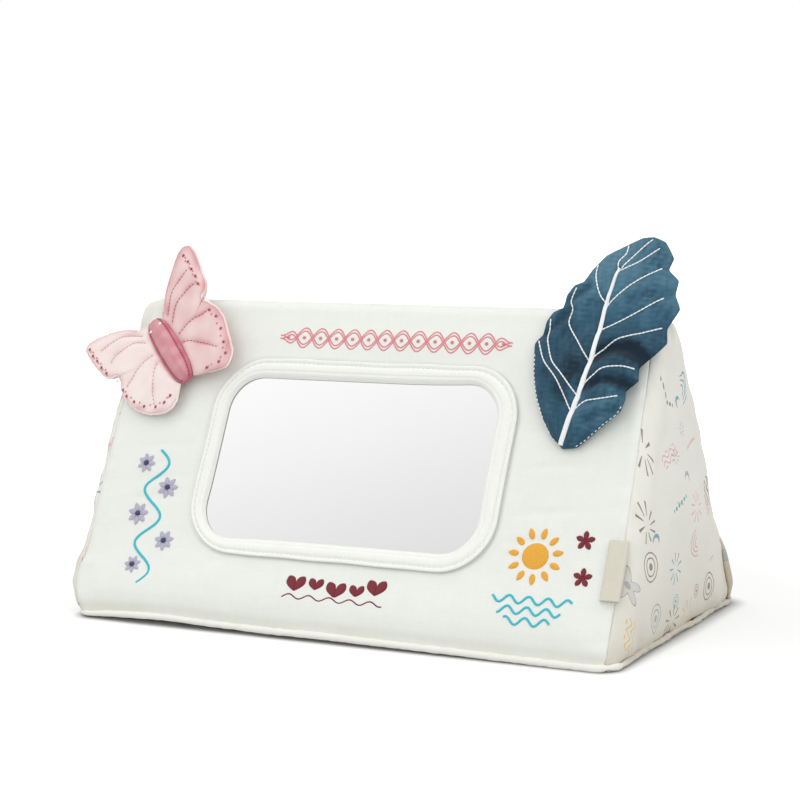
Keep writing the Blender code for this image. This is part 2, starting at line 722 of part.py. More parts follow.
def build_tab(parts, hinge, axis_height, colours):
    """A tape sewn into the ridge seam: it wraps the ridge's front shoulder, then lies behind the leaf."""
    radius = RIDGE_RADIUS + GAP + TAB_THICKNESS / 2
    centre = (RIDGE_HEIGHT - RIDGE_RADIUS) - axis_height
    middle_y, middle_z = centre * math.sin(SLOPE), centre * math.cos(SLOPE)
    profile = []
    for turn in np.linspace(SLOPE, 0, 7):
        profile.append((middle_y + radius * math.sin(turn), middle_z + radius * math.cos(turn)))
    profile.append((middle_y - TAB_TAIL, middle_z + radius))
    mesh = sheet_mesh(
        "leaf tab", (-TAB_WIDTH / 2, 0, TAB_WIDTH / 2), profile[::-1], lambda x, point: Vector((x, *point))
    )
    tab = add_object("leaf_tab", mesh, parts, colours["leaf"], parent=hinge)
    thicken(tab, TAB_THICKNESS).offset = 0


# Label

def build_label(parts, colours):
    """A ribbon folded in two, with both ends sewn into the seam at its hinge."""
    hinge = bpy.data.objects.new("label_hinge", None)
    parts.objects.link(hinge)
    seam = corner_station(QUARTER * SEAM_CORNER_SHARE, 0, 1)
    hinge.matrix_world = face_frame(seam[0] + LABEL_PAST_SEAM, LABEL_RISE, LABEL_LIFT)
    reach, puff, thick = LABEL_REACH, LABEL_PUFF, LABEL_THICKNESS
    low = thick / 2
    profile = smooth_path(
        (
            (-thick, low), (-reach * 0.4, low), (-reach * 0.85, low), (-reach * 0.98, puff * 0.3),
            (-reach * 0.98, puff * 0.7), (-reach * 0.85, puff * 0.93), (-reach * 0.5, puff),
            (-reach * 0.2, puff * 0.75), (-thick, puff * 0.45),
        ), 19,
    )
    mesh = sheet_mesh(
        "label loop", profile[::-1], (-LABEL_HEIGHT / 2, 0, LABEL_HEIGHT / 2),
        lambda point, along: Vector((point[0], along, point[1])),
    )
    label = add_object("label_loop", mesh, parts, colours["label"], parent=hinge)
    thicken(label, thick).offset = 0


def main():
    for old in list(bpy.data.objects):
        bpy.data.objects.remove(old, do_unlink=True)
    parts = bpy.data.collections.new("baby_mirror")
    cutters = bpy.data.collections.new("cutters")
    for collection in (parts, cutters):
        bpy.context.scene.collection.children.link(collection)
    colours = {
        "cover": make_material("cover cotton", (0.86, 0.86, 0.82), 0.85),
        "print": make_material("printed cotton", (0.85, 0.83, 0.81), 0.85),
        "foam": make_material("foam", (0.82, 0.80, 0.70), 0.95),
        "filling": make_material("polyester filling", (0.90, 0.90, 0.90), 0.95),
        "lining": make_material("lining", (0.80, 0.80, 0.78), 0.9),
        "board": make_material("backing board", (0.75, 0.75, 0.75), 0.7),
        "mirror": make_material("mirror sheet", (0.90, 0.91, 0.92), 0.03, 1.0),
        "wing": make_material("pink cotton", (0.87, 0.64, 0.64), 0.85),
        "body": make_material("rose cotton", (0.68, 0.27, 0.33), 0.8),
        "leaf": make_material("petrol cotton", (0.032, 0.105, 0.17), 0.85),
        "film": make_material("crinkle film", (0.80, 0.80, 0.82), 0.3),
        "label": make_material("ribbon", (0.73, 0.69, 0.58), 0.7),
    }
    build_wedge(parts, cutters, colours)
    build_base(parts, colours)
    build_mirror(parts, colours)
    build_butterfly(parts, colours)
    build_leaf(parts, colours)
    build_label(parts, colours)


main()
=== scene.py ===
# %% [markdown]
# This lesson dresses a baby's floor mirror: a soft foam wedge in cotton, with a mirror in a padded
# frame on its front slope, a stuffed butterfly, a padded leaf and a folded ribbon label. The hard
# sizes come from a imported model, which loads as a fixed frame. Everything that shows is then made
# as fine surfaces worked out with numpy, and each finish is a small node tree.

import math

import bmesh
import bpy
import numpy as np
from mathutils import Matrix, Vector


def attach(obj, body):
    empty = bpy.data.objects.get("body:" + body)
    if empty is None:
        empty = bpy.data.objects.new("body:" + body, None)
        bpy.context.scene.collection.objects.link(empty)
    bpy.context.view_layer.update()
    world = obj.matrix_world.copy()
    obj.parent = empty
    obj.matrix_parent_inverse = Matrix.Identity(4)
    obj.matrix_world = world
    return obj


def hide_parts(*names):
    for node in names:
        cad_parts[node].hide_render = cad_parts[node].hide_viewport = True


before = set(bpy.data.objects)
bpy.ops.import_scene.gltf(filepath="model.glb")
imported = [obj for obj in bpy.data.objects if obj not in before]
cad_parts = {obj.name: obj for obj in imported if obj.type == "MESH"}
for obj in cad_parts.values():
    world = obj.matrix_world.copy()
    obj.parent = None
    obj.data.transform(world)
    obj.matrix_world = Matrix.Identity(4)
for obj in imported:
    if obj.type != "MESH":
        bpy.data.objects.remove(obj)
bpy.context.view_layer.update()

# %% [markdown]
# The sizes below repeat the model's own, in metres. X runs along the wedge, -Y is the mirror side
# and Z is up, with the origin in the middle of the base. A share is a part of the size it belongs to.

# %% Sizes of the wedge
LENGTH, DEPTH, PEAK = 0.330, 0.1815, 0.1772
RIDGE_RADIUS, RIDGE_END_RADIUS, END_CORNER = 0.0082, 0.004, 0.012
END_BULGE, FRONT_CROWN, CROWN_RUN = 0.0045, 0.001, 0.022
RIDGE_DRAW, DRAW_RUN, LEFT_FOOT_DRAW = 0.0055, 0.030, 0.0104
LEFT_FOOT = np.array((
    (0, 10.0), (3, 8.0), (6, 5.8), (10, 3.9), (17, 0.6), (25, -0.2), (34, 2.0), (44, 2.0), (60, 1.0), (80, 0),
)) / 1000
SEAM_CORNER_SHARE, SLOPE_SHARE = 0.27, 0.8
GAP, SEAM_GAP, COVER, WELT = 0.0003, 0.0006, 0.0015, 0.0046
SLOPE = math.atan2(PEAK, DEPTH / 2)
FOOT = WELT + GAP + COVER * math.cos(SLOPE)
RIDGE_HEIGHT = PEAK - RIDGE_RADIUS / math.cos(SLOPE) + RIDGE_RADIUS
FACE_LENGTH = math.hypot(PEAK, DEPTH / 2)
CORNER_START = LENGTH / 2 - END_CORNER
SEAM_TURN = math.pi / 2 * SEAM_CORNER_SHARE
SEAM_ACROSS = CORNER_START + END_CORNER * math.sin(SEAM_TURN)
OPENING = np.array((0.164, 0.092))
OPENING_MIDDLE = np.array((-0.003, 0.0985))
OPENING_RADIUS, FRAME_BAND = 0.020, 0.0092
print("slope", round(math.degrees(SLOPE), 2), "degrees, face", round(FACE_LENGTH, 4), "m long")

# %% [markdown]
# The camera stands to the right of the mirror, a little above it, as far as a product photographer
# would. Its place is written with three directions: back, right and up. A long lens keeps the
# wedge's edges nearly parallel. The small roll is part of the picture's own tilt.

# %% Camera
YAW, PITCH, ROLL = (math.radians(angle) for angle in (27.59, 7.34, -0.99))
CAMERA_BACK, CAMERA_RIGHT, CAMERA_UP = 1.2113, 0.0030, 0.1142
view_back = np.array((math.sin(YAW) * math.cos(PITCH), -math.cos(YAW) * math.cos(PITCH), math.sin(PITCH)))
view_right = np.array((math.cos(YAW), math.sin(YAW), 0))
view_up = np.cross(view_back, view_right)
eye = view_back * CAMERA_BACK + view_right * CAMERA_RIGHT + view_up * CAMERA_UP
rolled_right = view_right * math.cos(ROLL) + view_up * math.sin(ROLL)
rolled_up = view_up * math.cos(ROLL) - view_right * math.sin(ROLL)
camera = bpy.data.objects.new("camera", bpy.data.cameras.new("camera"))
camera.data.lens = 99
camera_matrix = np.eye(4)
camera_matrix[:3] = np.stack((rolled_right, rolled_up, view_back, eye), axis=1)
camera.matrix_world = Matrix(camera_matrix)
bpy.context.scene.collection.objects.link(camera)
bpy.context.scene.camera = camera
print("camera at", np.round(eye, 3))

# %% [markdown]
# Node trees are long to write by hand, so two helpers do it: one adds a node with its settings and
# inputs, and one adds a Math node and hands back its result. A number given for an input is written
# on the socket, and a socket given for it is linked.

# %% Node helpers
def add_node(tree, kind, inputs=None, **settings):
    made = tree.nodes.new(kind)
    for name, value in settings.items():
        setattr(made, name, value)
    for name, value in (inputs or {}).items():
        if isinstance(value, bpy.types.NodeSocket):
            tree.links.new(value, made.inputs[name])
        else:
            made.inputs[name].default_value = value
    return made


def calc(tree, operation, *values):
    """A Math node's result; the values are numbers or sockets."""
    return add_node(tree, "ShaderNodeMath", dict(enumerate(values)), operation=operation).outputs[0]


def mix_colours(tree, factor, first, second, blend="MIX"):
    """first where factor is 0 and second where it is 1."""
    made = add_node(tree, "ShaderNodeMix", data_type="RGBA", blend_type=blend)
    for index, value in ((0, factor), (6, first), (7, second)):
        if isinstance(value, bpy.types.NodeSocket):
            tree.links.new(value, made.inputs[index])
        else:
            made.inputs[index].default_value = value
    return made.outputs[2]


def smooth_range(tree, value, from_low, from_high, to_low, to_high):
    """A smooth fade from one value to another while the input goes from one limit to the other."""
    limits = {"Value": value, "From Min": from_low, "From Max": from_high, "To Min": to_low, "To Max": to_high}
    return add_node(tree, "ShaderNodeMapRange", limits, interpolation_type="SMOOTHSTEP").outputs[0]


def along_way(tree, place, way):
    """How far a place lies along a direction: their dot product."""
    return add_node(tree, "ShaderNodeVectorMath", {0: place, 1: way}, operation="DOT_PRODUCT").outputs["Value"]


def finish_shader(tree, shader, colour, height, strength, distance):
    """Gives a shader its colour and bumps it by a height."""
    tree.links.new(colour, shader.inputs["Base Color"])
    bump = add_node(tree, "ShaderNodeBump", {"Height": height, "Strength": strength, "Distance": distance})
    tree.links.new(bump.outputs[0], shader.inputs["Normal"])


def new_group(name, inputs, outputs):
    """A shader node group with named sockets. Returns its tree, its input node and its output node."""
    tree = bpy.data.node_groups.new(name, "ShaderNodeTree")
    for way, sockets in (("INPUT", inputs), ("OUTPUT", outputs)):
        for socket, kind in sockets:
            tree.interface.new_socket(socket, in_out=way, socket_type="NodeSocket" + kind)
    return tree, tree.nodes.new("NodeGroupInput"), tree.nodes.new("NodeGroupOutput")


def srgb(*values):
    """A colour picked on a screen, 0 to 255, as the linear values that a shader takes."""
    share = np.array(values) / 255
    linear = np.where(share <= 0.04045, share / 12.92, ((share + 0.055) / 1.055) ** 2.4)
    return (*linear.tolist(), 1.0)


# %% [markdown]
# Every cloth here is plain woven cotton, so one group makes the weave for all of them. Two sines
# that cross give the over-and-under of the threads, a stretched noise gives thicker yarns, and a
# soft noise gives the cloudy tone of washed cotton. It reads a place in metres on the flat cloth,
# which each piece carries as its own UV map, so the threads follow the cloth.

# %% Cotton group
def make_cotton_group():
    tree, source, result = new_group(
        "cotton cloth",
        [("Place", "Vector"), ("Pitch", "Float"), ("Cloudiness", "Float")],
        [("Height", "Float"), ("Tone", "Float")],
    )
    split = add_node(tree, "ShaderNodeSeparateXYZ", {0: source.outputs["Place"]})
    waves = []
    for axis in (0, 1):
        turns = calc(tree, "DIVIDE", split.outputs[axis], source.outputs["Pitch"])
        waves.append(calc(tree, "SINE", calc(tree, "MULTIPLY", turns, math.pi)))
    crossing = calc(tree, "MULTIPLY", *waves)
    slubs = []
    for stretch in ((900, 90, 900), (90, 900, 900)):
        mapped = add_node(
            tree, "ShaderNodeVectorMath", {0: source.outputs["Place"], 1: stretch}, operation="MULTIPLY"
        )
        slubs.append(add_node(tree, "ShaderNodeTexNoise", {"Vector": mapped.outputs[0], "Scale": 1.0, "Detail": 2.0}))
    yarns = calc(tree, "ADD", slubs[0].outputs[0], slubs[1].outputs[0])
    soft_noise = {"Vector": source.outputs["Place"], "Scale": 60.0, "Detail": 7.0, "Roughness": 0.62}
    clouds = add_node(tree, "ShaderNodeTexNoise", soft_noise)
    height = calc(tree, "ADD", calc(tree, "MULTIPLY", crossing, 0.5), calc(tree, "MULTIPLY", yarns, 0.6))
    uneven = calc(tree, "MULTIPLY", calc(tree, "SUBTRACT", yarns, 1.0), 0.35)
    cloudy = calc(tree, "MULTIPLY", calc(tree, "SUBTRACT", clouds.outputs[0], 0.5), source.outputs["Cloudiness"])
    woven = calc(tree, "MULTIPLY", crossing, 0.06)
    tone = calc(tree, "ADD", calc(tree, "ADD", uneven, cloudy), woven)
    tree.links.new(height, result.inputs["Height"])
    tree.links.new(calc(tree, "ADD", tone, 0.5), result.inputs["Tone"])
    return tree


cotton_group = make_cotton_group()
print("cotton group:", len(cotton_group.nodes), "nodes")

# %% [markdown]
# A cloth material mixes a shade and a light tone of its colour by the group's Tone, and bumps the
# surface by its Height. Roughness stays high and a little sheen stands for the fibres' fuzz. A piece
# with a UV map reads it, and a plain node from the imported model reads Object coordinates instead.

# %% Cotton material
def principled(name, **values):
    """A material with its Principled BSDF's own sockets set; returns material, tree and shader."""
    material = bpy.data.materials.new(name)
    material.use_nodes = True
    shader = material.node_tree.nodes["Principled BSDF"]
    for socket, value in values.items():
        shader.inputs[socket.replace("_", " ")].default_value = value
    return material, material.node_tree, shader


def cotton(name, shade, light, pitch=0.00045, cloudiness=0.5, relief=0.35, sheen=0.2, on_uv=True, tints=None):
    """Woven cotton; a piece's per-point value mixes in a darker and a paler colour: painted shade and light, or
    blotches.
    """
    material, tree, shader = principled(
        name, Roughness=0.88, Sheen_Weight=sheen, Sheen_Roughness=0.5, Specular_IOR_Level=0.25
    )
    weave = add_node(tree, "ShaderNodeGroup", node_tree=cotton_group)
    tree.links.new(add_node(tree, "ShaderNodeTexCoord").outputs["UV" if on_uv else "Object"], weave.inputs["Place"])
    weave.inputs["Pitch"].default_value = pitch
    weave.inputs["Cloudiness"].default_value = cloudiness
    colour = mix_colours(tree, weave.outputs["Tone"], shade, light)
    if tints:
        tint = add_node(tree, "ShaderNodeAttribute", attribute_name="tint").outputs["Fac"]
        for sign, other in zip((1, -1), tints):
            share = add_node(tree, "ShaderNodeClamp", {0: calc(tree, "MULTIPLY", tint, sign)}).outputs[0]
            colour = mix_colours(tree, share, colour, other)
    finish_shader(tree, shader, colour, weave.outputs["Height"], relief, 0.00015)
    return material


# The cover cotton's darker colour is painted shade, in the crease just above the welt.
cover_cotton = cotton(
    "cover cotton", srgb(226, 228, 222), srgb(241, 243, 238), tints=(srgb(212, 206, 190), srgb(246, 247, 243))
)
frame_cotton = cotton("frame cotton", srgb(234, 235, 229), srgb(247, 248, 243), cloudiness=0.35)
# Painted light: the welt's cotton is a lighter copy of the cover's, for the light the rolled welt catches; its darker
# colour paints shade at the right end.
welt_cotton_painted_light_and_shade = cotton(
    "welt cotton", srgb(234, 232, 224), srgb(247, 246, 240), relief=0.8,
    tints=(srgb(198, 190, 172), srgb(245, 244, 238)),
)
# Its darker and paler colours paint shade and light on the wings, besides their blotches.
pink_cotton = cotton(
    "pink cotton", srgb(238, 218, 214), srgb(250, 235, 231), cloudiness=1.1,
    tints=(srgb(216, 158, 162), srgb(252, 242, 238)),
)
# Its darker colour paints the shade in the body's stitched grooves, and also darkens its rim, ends and blotches.
rose_cotton = cotton(
    "rose cotton", srgb(192, 124, 134), srgb(222, 166, 172), cloudiness=0.9,
    tints=(srgb(196, 92, 112), srgb(232, 186, 188)),
)
# Its darker and paler colours paint the leaf's shade and light, besides its mottling.
petrol_cotton = cotton(
    "petrol cotton", srgb(34, 69, 89), srgb(60, 104, 127), cloudiness=2.2, relief=0.7, sheen=0.10,
    tints=(srgb(22, 42, 56), srgb(92, 134, 154)),
)
ribbon_cotton = cotton("ribbon", srgb(206, 201, 186), srgb(224, 220, 206), pitch=0.0006, relief=0.6)
plain_lining = cotton("lining cloth", srgb(226, 226, 222), srgb(240, 240, 236), on_uv=False)
print("cottons:", [name for name in bpy.data.materials.keys()])

# %% [markdown]
# Embroidery thread is glossy and twisted. Its group draws slanted strands on a UV map whose U runs
# along the stitch, and the same group serves satin stitch, where the strands lie side by side across
# a band. Thread pitch is the distance from one strand to the next.

# %% Thread group and material
def make_thread_group():
    tree, source, result = new_group(
        "thread strands",
        [("Place", "Vector"), ("Pitch", "Float"), ("Slant", "Float")],
        [("Height", "Float"), ("Tone", "Float")],
    )
    split = add_node(tree, "ShaderNodeSeparateXYZ", {0: source.outputs["Place"]})
    slanted = calc(tree, "MULTIPLY_ADD", split.outputs[1], source.outputs["Slant"], split.outputs[0])
    strands = calc(tree, "MULTIPLY", calc(tree, "DIVIDE", slanted, source.outputs["Pitch"]), math.pi)
    height = calc(tree, "ABSOLUTE", calc(tree, "SINE", strands))
    fibres = add_node(tree, "ShaderNodeTexNoise", {"Vector": source.outputs["Place"], "Scale": 900.0, "Detail": 2.0})
    tone = calc(tree, "ADD", calc(tree, "MULTIPLY", height, 0.6), calc(tree, "MULTIPLY", fibres.outputs[0], 0.5))
    tree.links.new(height, result.inputs["Height"])
    tree.links.new(tone, result.inputs["Tone"])
    return tree


thread_group = make_thread_group()


def thread(name, shade, light, pitch=0.0004, slant=0.5, gloss=0.45):
    material, tree, shader = principled(name, Roughness=gloss, Sheen_Weight=0.1, Specular_IOR_Level=0.4)
    strands = add_node(tree, "ShaderNodeGroup", node_tree=thread_group)
    tree.links.new(add_node(tree, "ShaderNodeTexCoord").outputs["UV"], strands.inputs["Place"])
    strands.inputs["Pitch"].default_value = pitch
    strands.inputs["Slant"].default_value = slant
    colour = mix_colours(tree, strands.outputs["Tone"], shade, light)
    finish_shader(tree, shader, colour, strands.outputs["Height"], 0.5, 0.0001)
    return material


turquoise_thread = thread("turquoise thread", srgb(20, 150, 170), srgb(70, 205, 218))
dark_rose_thread = thread("dark rose thread", srgb(120, 44, 62), srgb(172, 84, 100))
maroon_thread = thread("maroon thread", srgb(78, 10, 26), srgb(140, 30, 48))
golden_thread = thread("golden thread", srgb(206, 134, 24), srgb(246, 186, 66))
lilac_thread = thread("lilac thread", srgb(132, 138, 160), srgb(206, 196, 214))
navy_thread = thread("navy thread", srgb(30, 44, 78), srgb(60, 78, 118))
rose_thread = thread("rose thread", srgb(196, 92, 106), srgb(236, 152, 160))
deep_rose_thread = thread("deep rose thread", srgb(140, 50, 74), srgb(186, 84, 104))
blush_thread = thread("blush thread", srgb(222, 138, 150), srgb(244, 178, 186))
white_thread = thread("white thread", srgb(228, 231, 235), srgb(253, 253, 254))
cream_thread = thread("cream thread", srgb(214, 213, 205), srgb(240, 240, 234))
print("threads:", sum("thread" in name for name in bpy.data.materials.keys()))

# %% [markdown]
# The ends and the back are printed cotton. The print is worked out, not drawn: a Voronoi texture
# scatters cells over the flat cloth, and each cell's own place, turn, colour and motif come from the
# cell's random colour. Around the cell's middle, simple formulas draw a ring, a petalled flower, a
# crescent, a row of dots or a pair of arcs, with thin, slightly rough lines as ink has.

# %% Print group
def make_print_group():
    tree, source, result = new_group(
        "scattered print",
        [("Place", "Vector"), ("Cell", "Float"), ("Seed", "Float"), ("Share", "Float")],
        [("Ink", "Float"), ("Pick", "Float")],
    )
    shifted = add_node(tree, "ShaderNodeVectorMath", {0: source.outputs["Place"]}, operation="ADD")
    seeds = add_node(tree, "ShaderNodeCombineXYZ", {0: source.outputs["Seed"], 1: source.outputs["Seed"]})
    tree.links.new(seeds.outputs[0], shifted.inputs[1])

    def plus(first, second):
        return calc(tree, "ADD", first, second)

    def minus(first, second):
        return calc(tree, "SUBTRACT", first, second)

    def times(first, second):
        return calc(tree, "MULTIPLY", first, second)

    scale = calc(tree, "DIVIDE", 1.0, source.outputs["Cell"])
    cells = add_node(
        tree, "ShaderNodeTexVoronoi", {"Vector": shifted.outputs[0], "Scale": scale, "Randomness": 0.45},
        voronoi_dimensions="2D",
    )
    from_middle = add_node(
        tree, "ShaderNodeVectorMath", {0: shifted.outputs[0], 1: cells.outputs["Position"]}, operation="SUBTRACT"
    )
    picks = add_node(tree, "ShaderNodeSeparateColor", {0: cells.outputs["Color"]})
    turned = add_node(
        tree, "ShaderNodeVectorRotate",
        {"Vector": from_middle.outputs[0], "Angle": times(picks.outputs[0], 2 * math.pi)},
        rotation_type="Z_AXIS",
    )
    wobble = add_node(tree, "ShaderNodeTexNoise", {"Vector": shifted.outputs[0], "Scale": 260.0, "Detail": 1.0})
    split = add_node(tree, "ShaderNodeSeparateXYZ", {0: turned.outputs[0]})
    # From here on lengths are in cells
    x, y = (times(split.outputs[axis], scale) for axis in (0, 1))

    def length(first, second):
        return calc(tree, "SQRT", plus(times(first, first), times(second, second)))

    reach = calc(tree, "MULTIPLY_ADD", minus(wobble.outputs[0], 0.5), 0.03, length(x, y))
    bearing = calc(tree, "ARCTAN2", y, x)

    def line_at(distance, half_width=0.014):
        return calc(tree, "LESS_THAN", calc(tree, "ABSOLUTE", distance), half_width)

    def less(value, limit):
        return calc(tree, "LESS_THAN", value, limit)

    def circle(radius):
        return line_at(minus(reach, radius))

    def both(*masks):
        joined = masks[0]
        for mask in masks[1:]:
            joined = calc(tree, "MAXIMUM", joined, mask)
        return joined

    lobes = calc(tree, "COSINE", times(bearing, 5))
    petals = minus(reach, calc(tree, "MULTIPLY_ADD", lobes, 0.09, 0.21))
    flower = both(line_at(petals), times(less(petals, 0), 0.35), less(reach, 0.06))
    spokes = calc(tree, "GREATER_THAN", calc(tree, "COSINE", times(bearing, 9)), 0.80)
    burst = times(spokes, line_at(minus(reach, 0.21), 0.10))
    moon = times(less(reach, 0.25), calc(tree, "GREATER_THAN", length(minus(x, 0.11), y), 0.20))
    swing = times(calc(tree, "SINE", times(x, 24.0)), 0.05)
    lines = minus(calc(tree, "PINGPONG", minus(y, swing), 0.06), 0.06)
    wave = times(times(line_at(lines, 0.018), line_at(x, 0.28)), line_at(y, 0.15))
    bead_x = minus(calc(tree, "FRACT", times(x, 8.0)), 0.5)
    beads = times(less(length(bead_x, times(y, 8.0)), 0.33), line_at(x, 0.31))
    rings = both(circle(0.27), circle(0.17), less(reach, 0.07))
    arches = times(both(circle(0.28), circle(0.19), circle(0.10)), calc(tree, "GREATER_THAN", y, 0))

    drawn = 0.0
    motifs = (flower, burst, moon, wave, beads, rings, arches)
    for index, motif in enumerate(motifs):
        low, high = index / len(motifs), (index + 1) / len(motifs)
        chosen = calc(
            tree, "MULTIPLY", calc(tree, "GREATER_THAN", picks.outputs[1], low), less(picks.outputs[1], high)
        )
        drawn = plus(drawn, times(chosen, motif))
    kept = less(calc(tree, "FRACT", times(picks.outputs[0], 7.3)), source.outputs["Share"])
    tree.links.new(times(drawn, kept), result.inputs["Ink"])
    tree.links.new(picks.outputs[2], result.inputs["Pick"])
    return tree


print_group = make_print_group()
print("print group:", len(print_group.nodes), "nodes")

# %% [markdown]
# The printed cotton is the plain cotton with two scatters of motifs over it, a large one and a small
# one. A stepped colour ramp turns each cell's random number into one ink, so neighbours differ. The
# ink is thinned a little, because cotton drinks it.

# %% Printed cotton
INKS = (
    srgb(218, 150, 160), srgb(124, 182, 186), srgb(150, 52, 66), srgb(160, 164, 168),
    srgb(224, 190, 122), srgb(224, 164, 172), srgb(128, 108, 94), srgb(96, 156, 168),
)


def add_print(tree, place, base, cell, seed, share):
    scatter = add_node(tree, "ShaderNodeGroup", node_tree=print_group)
    tree.links.new(place, scatter.inputs["Place"])
    for socket, value in (("Cell", cell), ("Seed", seed), ("Share", share)):
        scatter.inputs[socket].default_value = value
    ramp = add_node(tree, "ShaderNodeValToRGB", {0: scatter.outputs["Pick"]})
    ramp.color_ramp.interpolation = "CONSTANT"
    ramp.color_ramp.elements[1].position = 1 / len(INKS)
    for index in range(2, len(INKS)):
        ramp.color_ramp.elements.new(index / len(INKS))
    for element, ink in zip(ramp.color_ramp.elements, INKS):
        element.color = ink
    thinned = calc(tree, "MULTIPLY", scatter.outputs["Ink"], 0.85)
    return mix_colours(tree, thinned, base, ramp.outputs[0])


def printed(name):
    # The printed cotton's darker colour is painted shade, low on the ends and on the back's lower corners.
    material = cotton(name, srgb(226, 224, 216), srgb(241, 239, 232), tints=(srgb(190, 180, 155), srgb(246, 244, 238)))
    tree = material.node_tree
    shader = tree.nodes["Principled BSDF"]
    colour = shader.inputs["Base Color"].links[0].from_socket
    place = add_node(tree, "ShaderNodeTexCoord").outputs["UV"]
    for cell, seed, share in ((0.027, 0.4, 0.95), (0.013, 1.73, 0.16)):
        colour = add_print(tree, place, colour, cell, seed, share)
    tree.links.new(colour, shader.inputs["Base Color"])
    return material


printed_cotton = printed("printed cotton")
print("inks:", len(INKS))

# %% [markdown]
# The mirror is a silvered plastic sheet: fully metallic, nearly smooth, and very slightly uneven,
# because such sheets are never as flat as glass. The inner pieces don't show in a finished toy, but
# each one gets its own finish too: open-cell foam, fluffy filling, fibre board and a crackling film.

# %% Mirror and inner finishes
def noisy(name, colour, other, scale, roughness, relief, **values):
    """A finish whose colour and surface vary with one noise on Object coordinates."""
    material, tree, shader = principled(name, Roughness=roughness, **values)
    place = add_node(tree, "ShaderNodeTexCoord").outputs["Object"]
    grain = add_node(tree, "ShaderNodeTexNoise", {"Vector": place, "Scale": scale, "Detail": 4.0})
    mixed = mix_colours(tree, grain.outputs[0], colour, other)
    finish_shader(tree, shader, mixed, grain.outputs[0], relief, 0.001)
    return material


mirror_film = noisy("mirror film", srgb(250, 250, 250), srgb(248, 248, 248), 14, 0.05, 0.02, Metallic=1.0)
foam = noisy("foam", srgb(214, 206, 178), srgb(240, 234, 210), 900, 0.95, 0.6)
filling = noisy("polyester filling", srgb(226, 226, 226), srgb(250, 250, 250), 400, 0.95, 0.8, Sheen_Weight=0.5)
board = noisy("backing board", srgb(176, 168, 154), srgb(208, 200, 186), 500, 0.8, 0.2)
crackle = noisy("crackling film", srgb(214, 216, 220), srgb(240, 242, 246), 120, 0.25, 0.6)
print("materials:", len(bpy.data.materials))

# %% [markdown]
# Surfaces come from grids of points. One helper lists the four corners of every cell, and wraps
# round where the grid closes on itself. The next turns a grid into a named piece with a UV map in
# metres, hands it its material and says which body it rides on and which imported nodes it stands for.
# Corners keep their own UV values, so a closed seam has no smeared cell.

# %% Grid helpers
def grid_cells(rows, columns, closed):
    """Corner steps (row, column) of each cell, running so that column direction x row direction points out."""
    row, column = np.meshgrid(
        np.arange(rows - (not closed[0])), np.arange(columns - (not closed[1])), indexing="ij"
    )
    corner_rows = np.stack((row, row, row + 1, row + 1), axis=-1).reshape(-1, 4)
    corner_columns = np.stack((column, column + 1, column + 1, column), axis=-1).reshape(-1, 4)
    return corner_rows, corner_columns


def run_length(line, closed):
    """Distance run along a line of points, and back to its start where it is closed."""
    line = np.vstack((line, line[:1])) if closed else line
    return np.concatenate(([0.0], np.cumsum(np.linalg.norm(np.diff(line, axis=0), axis=1))))


def row_runs(points):
    """Distance run along each row of a grid."""
    steps = np.linalg.norm(np.diff(points, axis=1), axis=-1)
    return np.concatenate((np.zeros((len(points), 1)), np.cumsum(steps, axis=1)), axis=1)


def nearest_four(places, grid):
    """The four grid points nearest to each place, and their weights: 1 / distance."""
    gaps = np.linalg.norm(places.reshape(-1, 1, 2) - grid.reshape(1, -1, 2), axis=-1)
    near = np.argsort(gaps, axis=1)[:, :4]
    return near, 1 / (np.take_along_axis(gaps, near, axis=1) + 1e-5)


def new_piece(name, points, faces, corner_uv, material, body, stands_for=(), slot=None, tint=None):
    mesh = bpy.data.meshes.new(name)
    mesh.from_pydata(points.reshape(-1, 3), [], faces)
    mesh.uv_layers.new(name="flat").data.foreach_set("uv", corner_uv.reshape(-1).astype(np.float32))
    mesh.polygons.foreach_set("use_smooth", np.ones(len(faces), bool))
    mesh.materials.append(material)
    if tint is not None:
        mesh.attributes.new("tint", "FLOAT", "POINT").data.foreach_set("value", tint.reshape(-1).astype(np.float32))
    form = bmesh.new()
    form.from_mesh(mesh)
    bmesh.ops.remove_doubles(form, verts=form.verts, dist=1e-6)
    bmesh.ops.dissolve_degenerate(form, edges=form.edges, dist=1e-7)
    form.to_mesh(mesh)
    form.free()
    piece = bpy.data.objects.new(name, mesh)
    bpy.context.scene.collection.objects.link(piece)
    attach(piece, body)
    if stands_for:
        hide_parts(*stands_for)
    print(f"{name}: {len(mesh.polygons)} faces")
    return piece


def surface(name, points, material, body, closed=(False, False), flat=None, keep=None, thickness=0.0, **facts):
    """A grid of points as a piece; flat is each point's place on the flat cloth, and keep says which cells stay."""
    rows, columns = points.shape[:2]
    corner_rows, corner_columns = grid_cells(rows, columns, closed)
    if keep is not None:
        corner_rows, corner_columns = corner_rows[keep.ravel()], corner_columns[keep.ravel()]
    faces = (corner_rows % rows) * columns + corner_columns % columns
    if flat is None:
        along = run_length(points[rows // 2], closed[1])
        up = run_length(points[:, columns // 2], closed[0])
        corner_uv = np.stack((along[corner_columns], up[corner_rows]), axis=-1)
    else:
        corner_uv = flat.reshape(-1, 2)[faces]
    piece = new_piece(name, points, faces, corner_uv, material, body, **facts)
    if thickness:
        wall = piece.modifiers.new("cloth thickness", "SOLIDIFY")
        wall.thickness = thickness
        wall.offset = -1
    return piece


def grid_normals(points):
    """Unit normals of a grid: column direction x row direction."""
    row_way, column_way = np.gradient(points, axis=(0, 1))
    normal = np.cross(column_way, row_way)
    return normal / np.maximum(np.linalg.norm(normal, axis=-1, keepdims=True), 1e-12)


# %% [markdown]
# Cloth is never quite even. Ripple adds up a few plane waves in random directions around one
# wavelength, from a fixed seed, which gives soft dents that are the same each run. Soft step is the
# smooth rise from 0 to 1 that fades one thing into another.

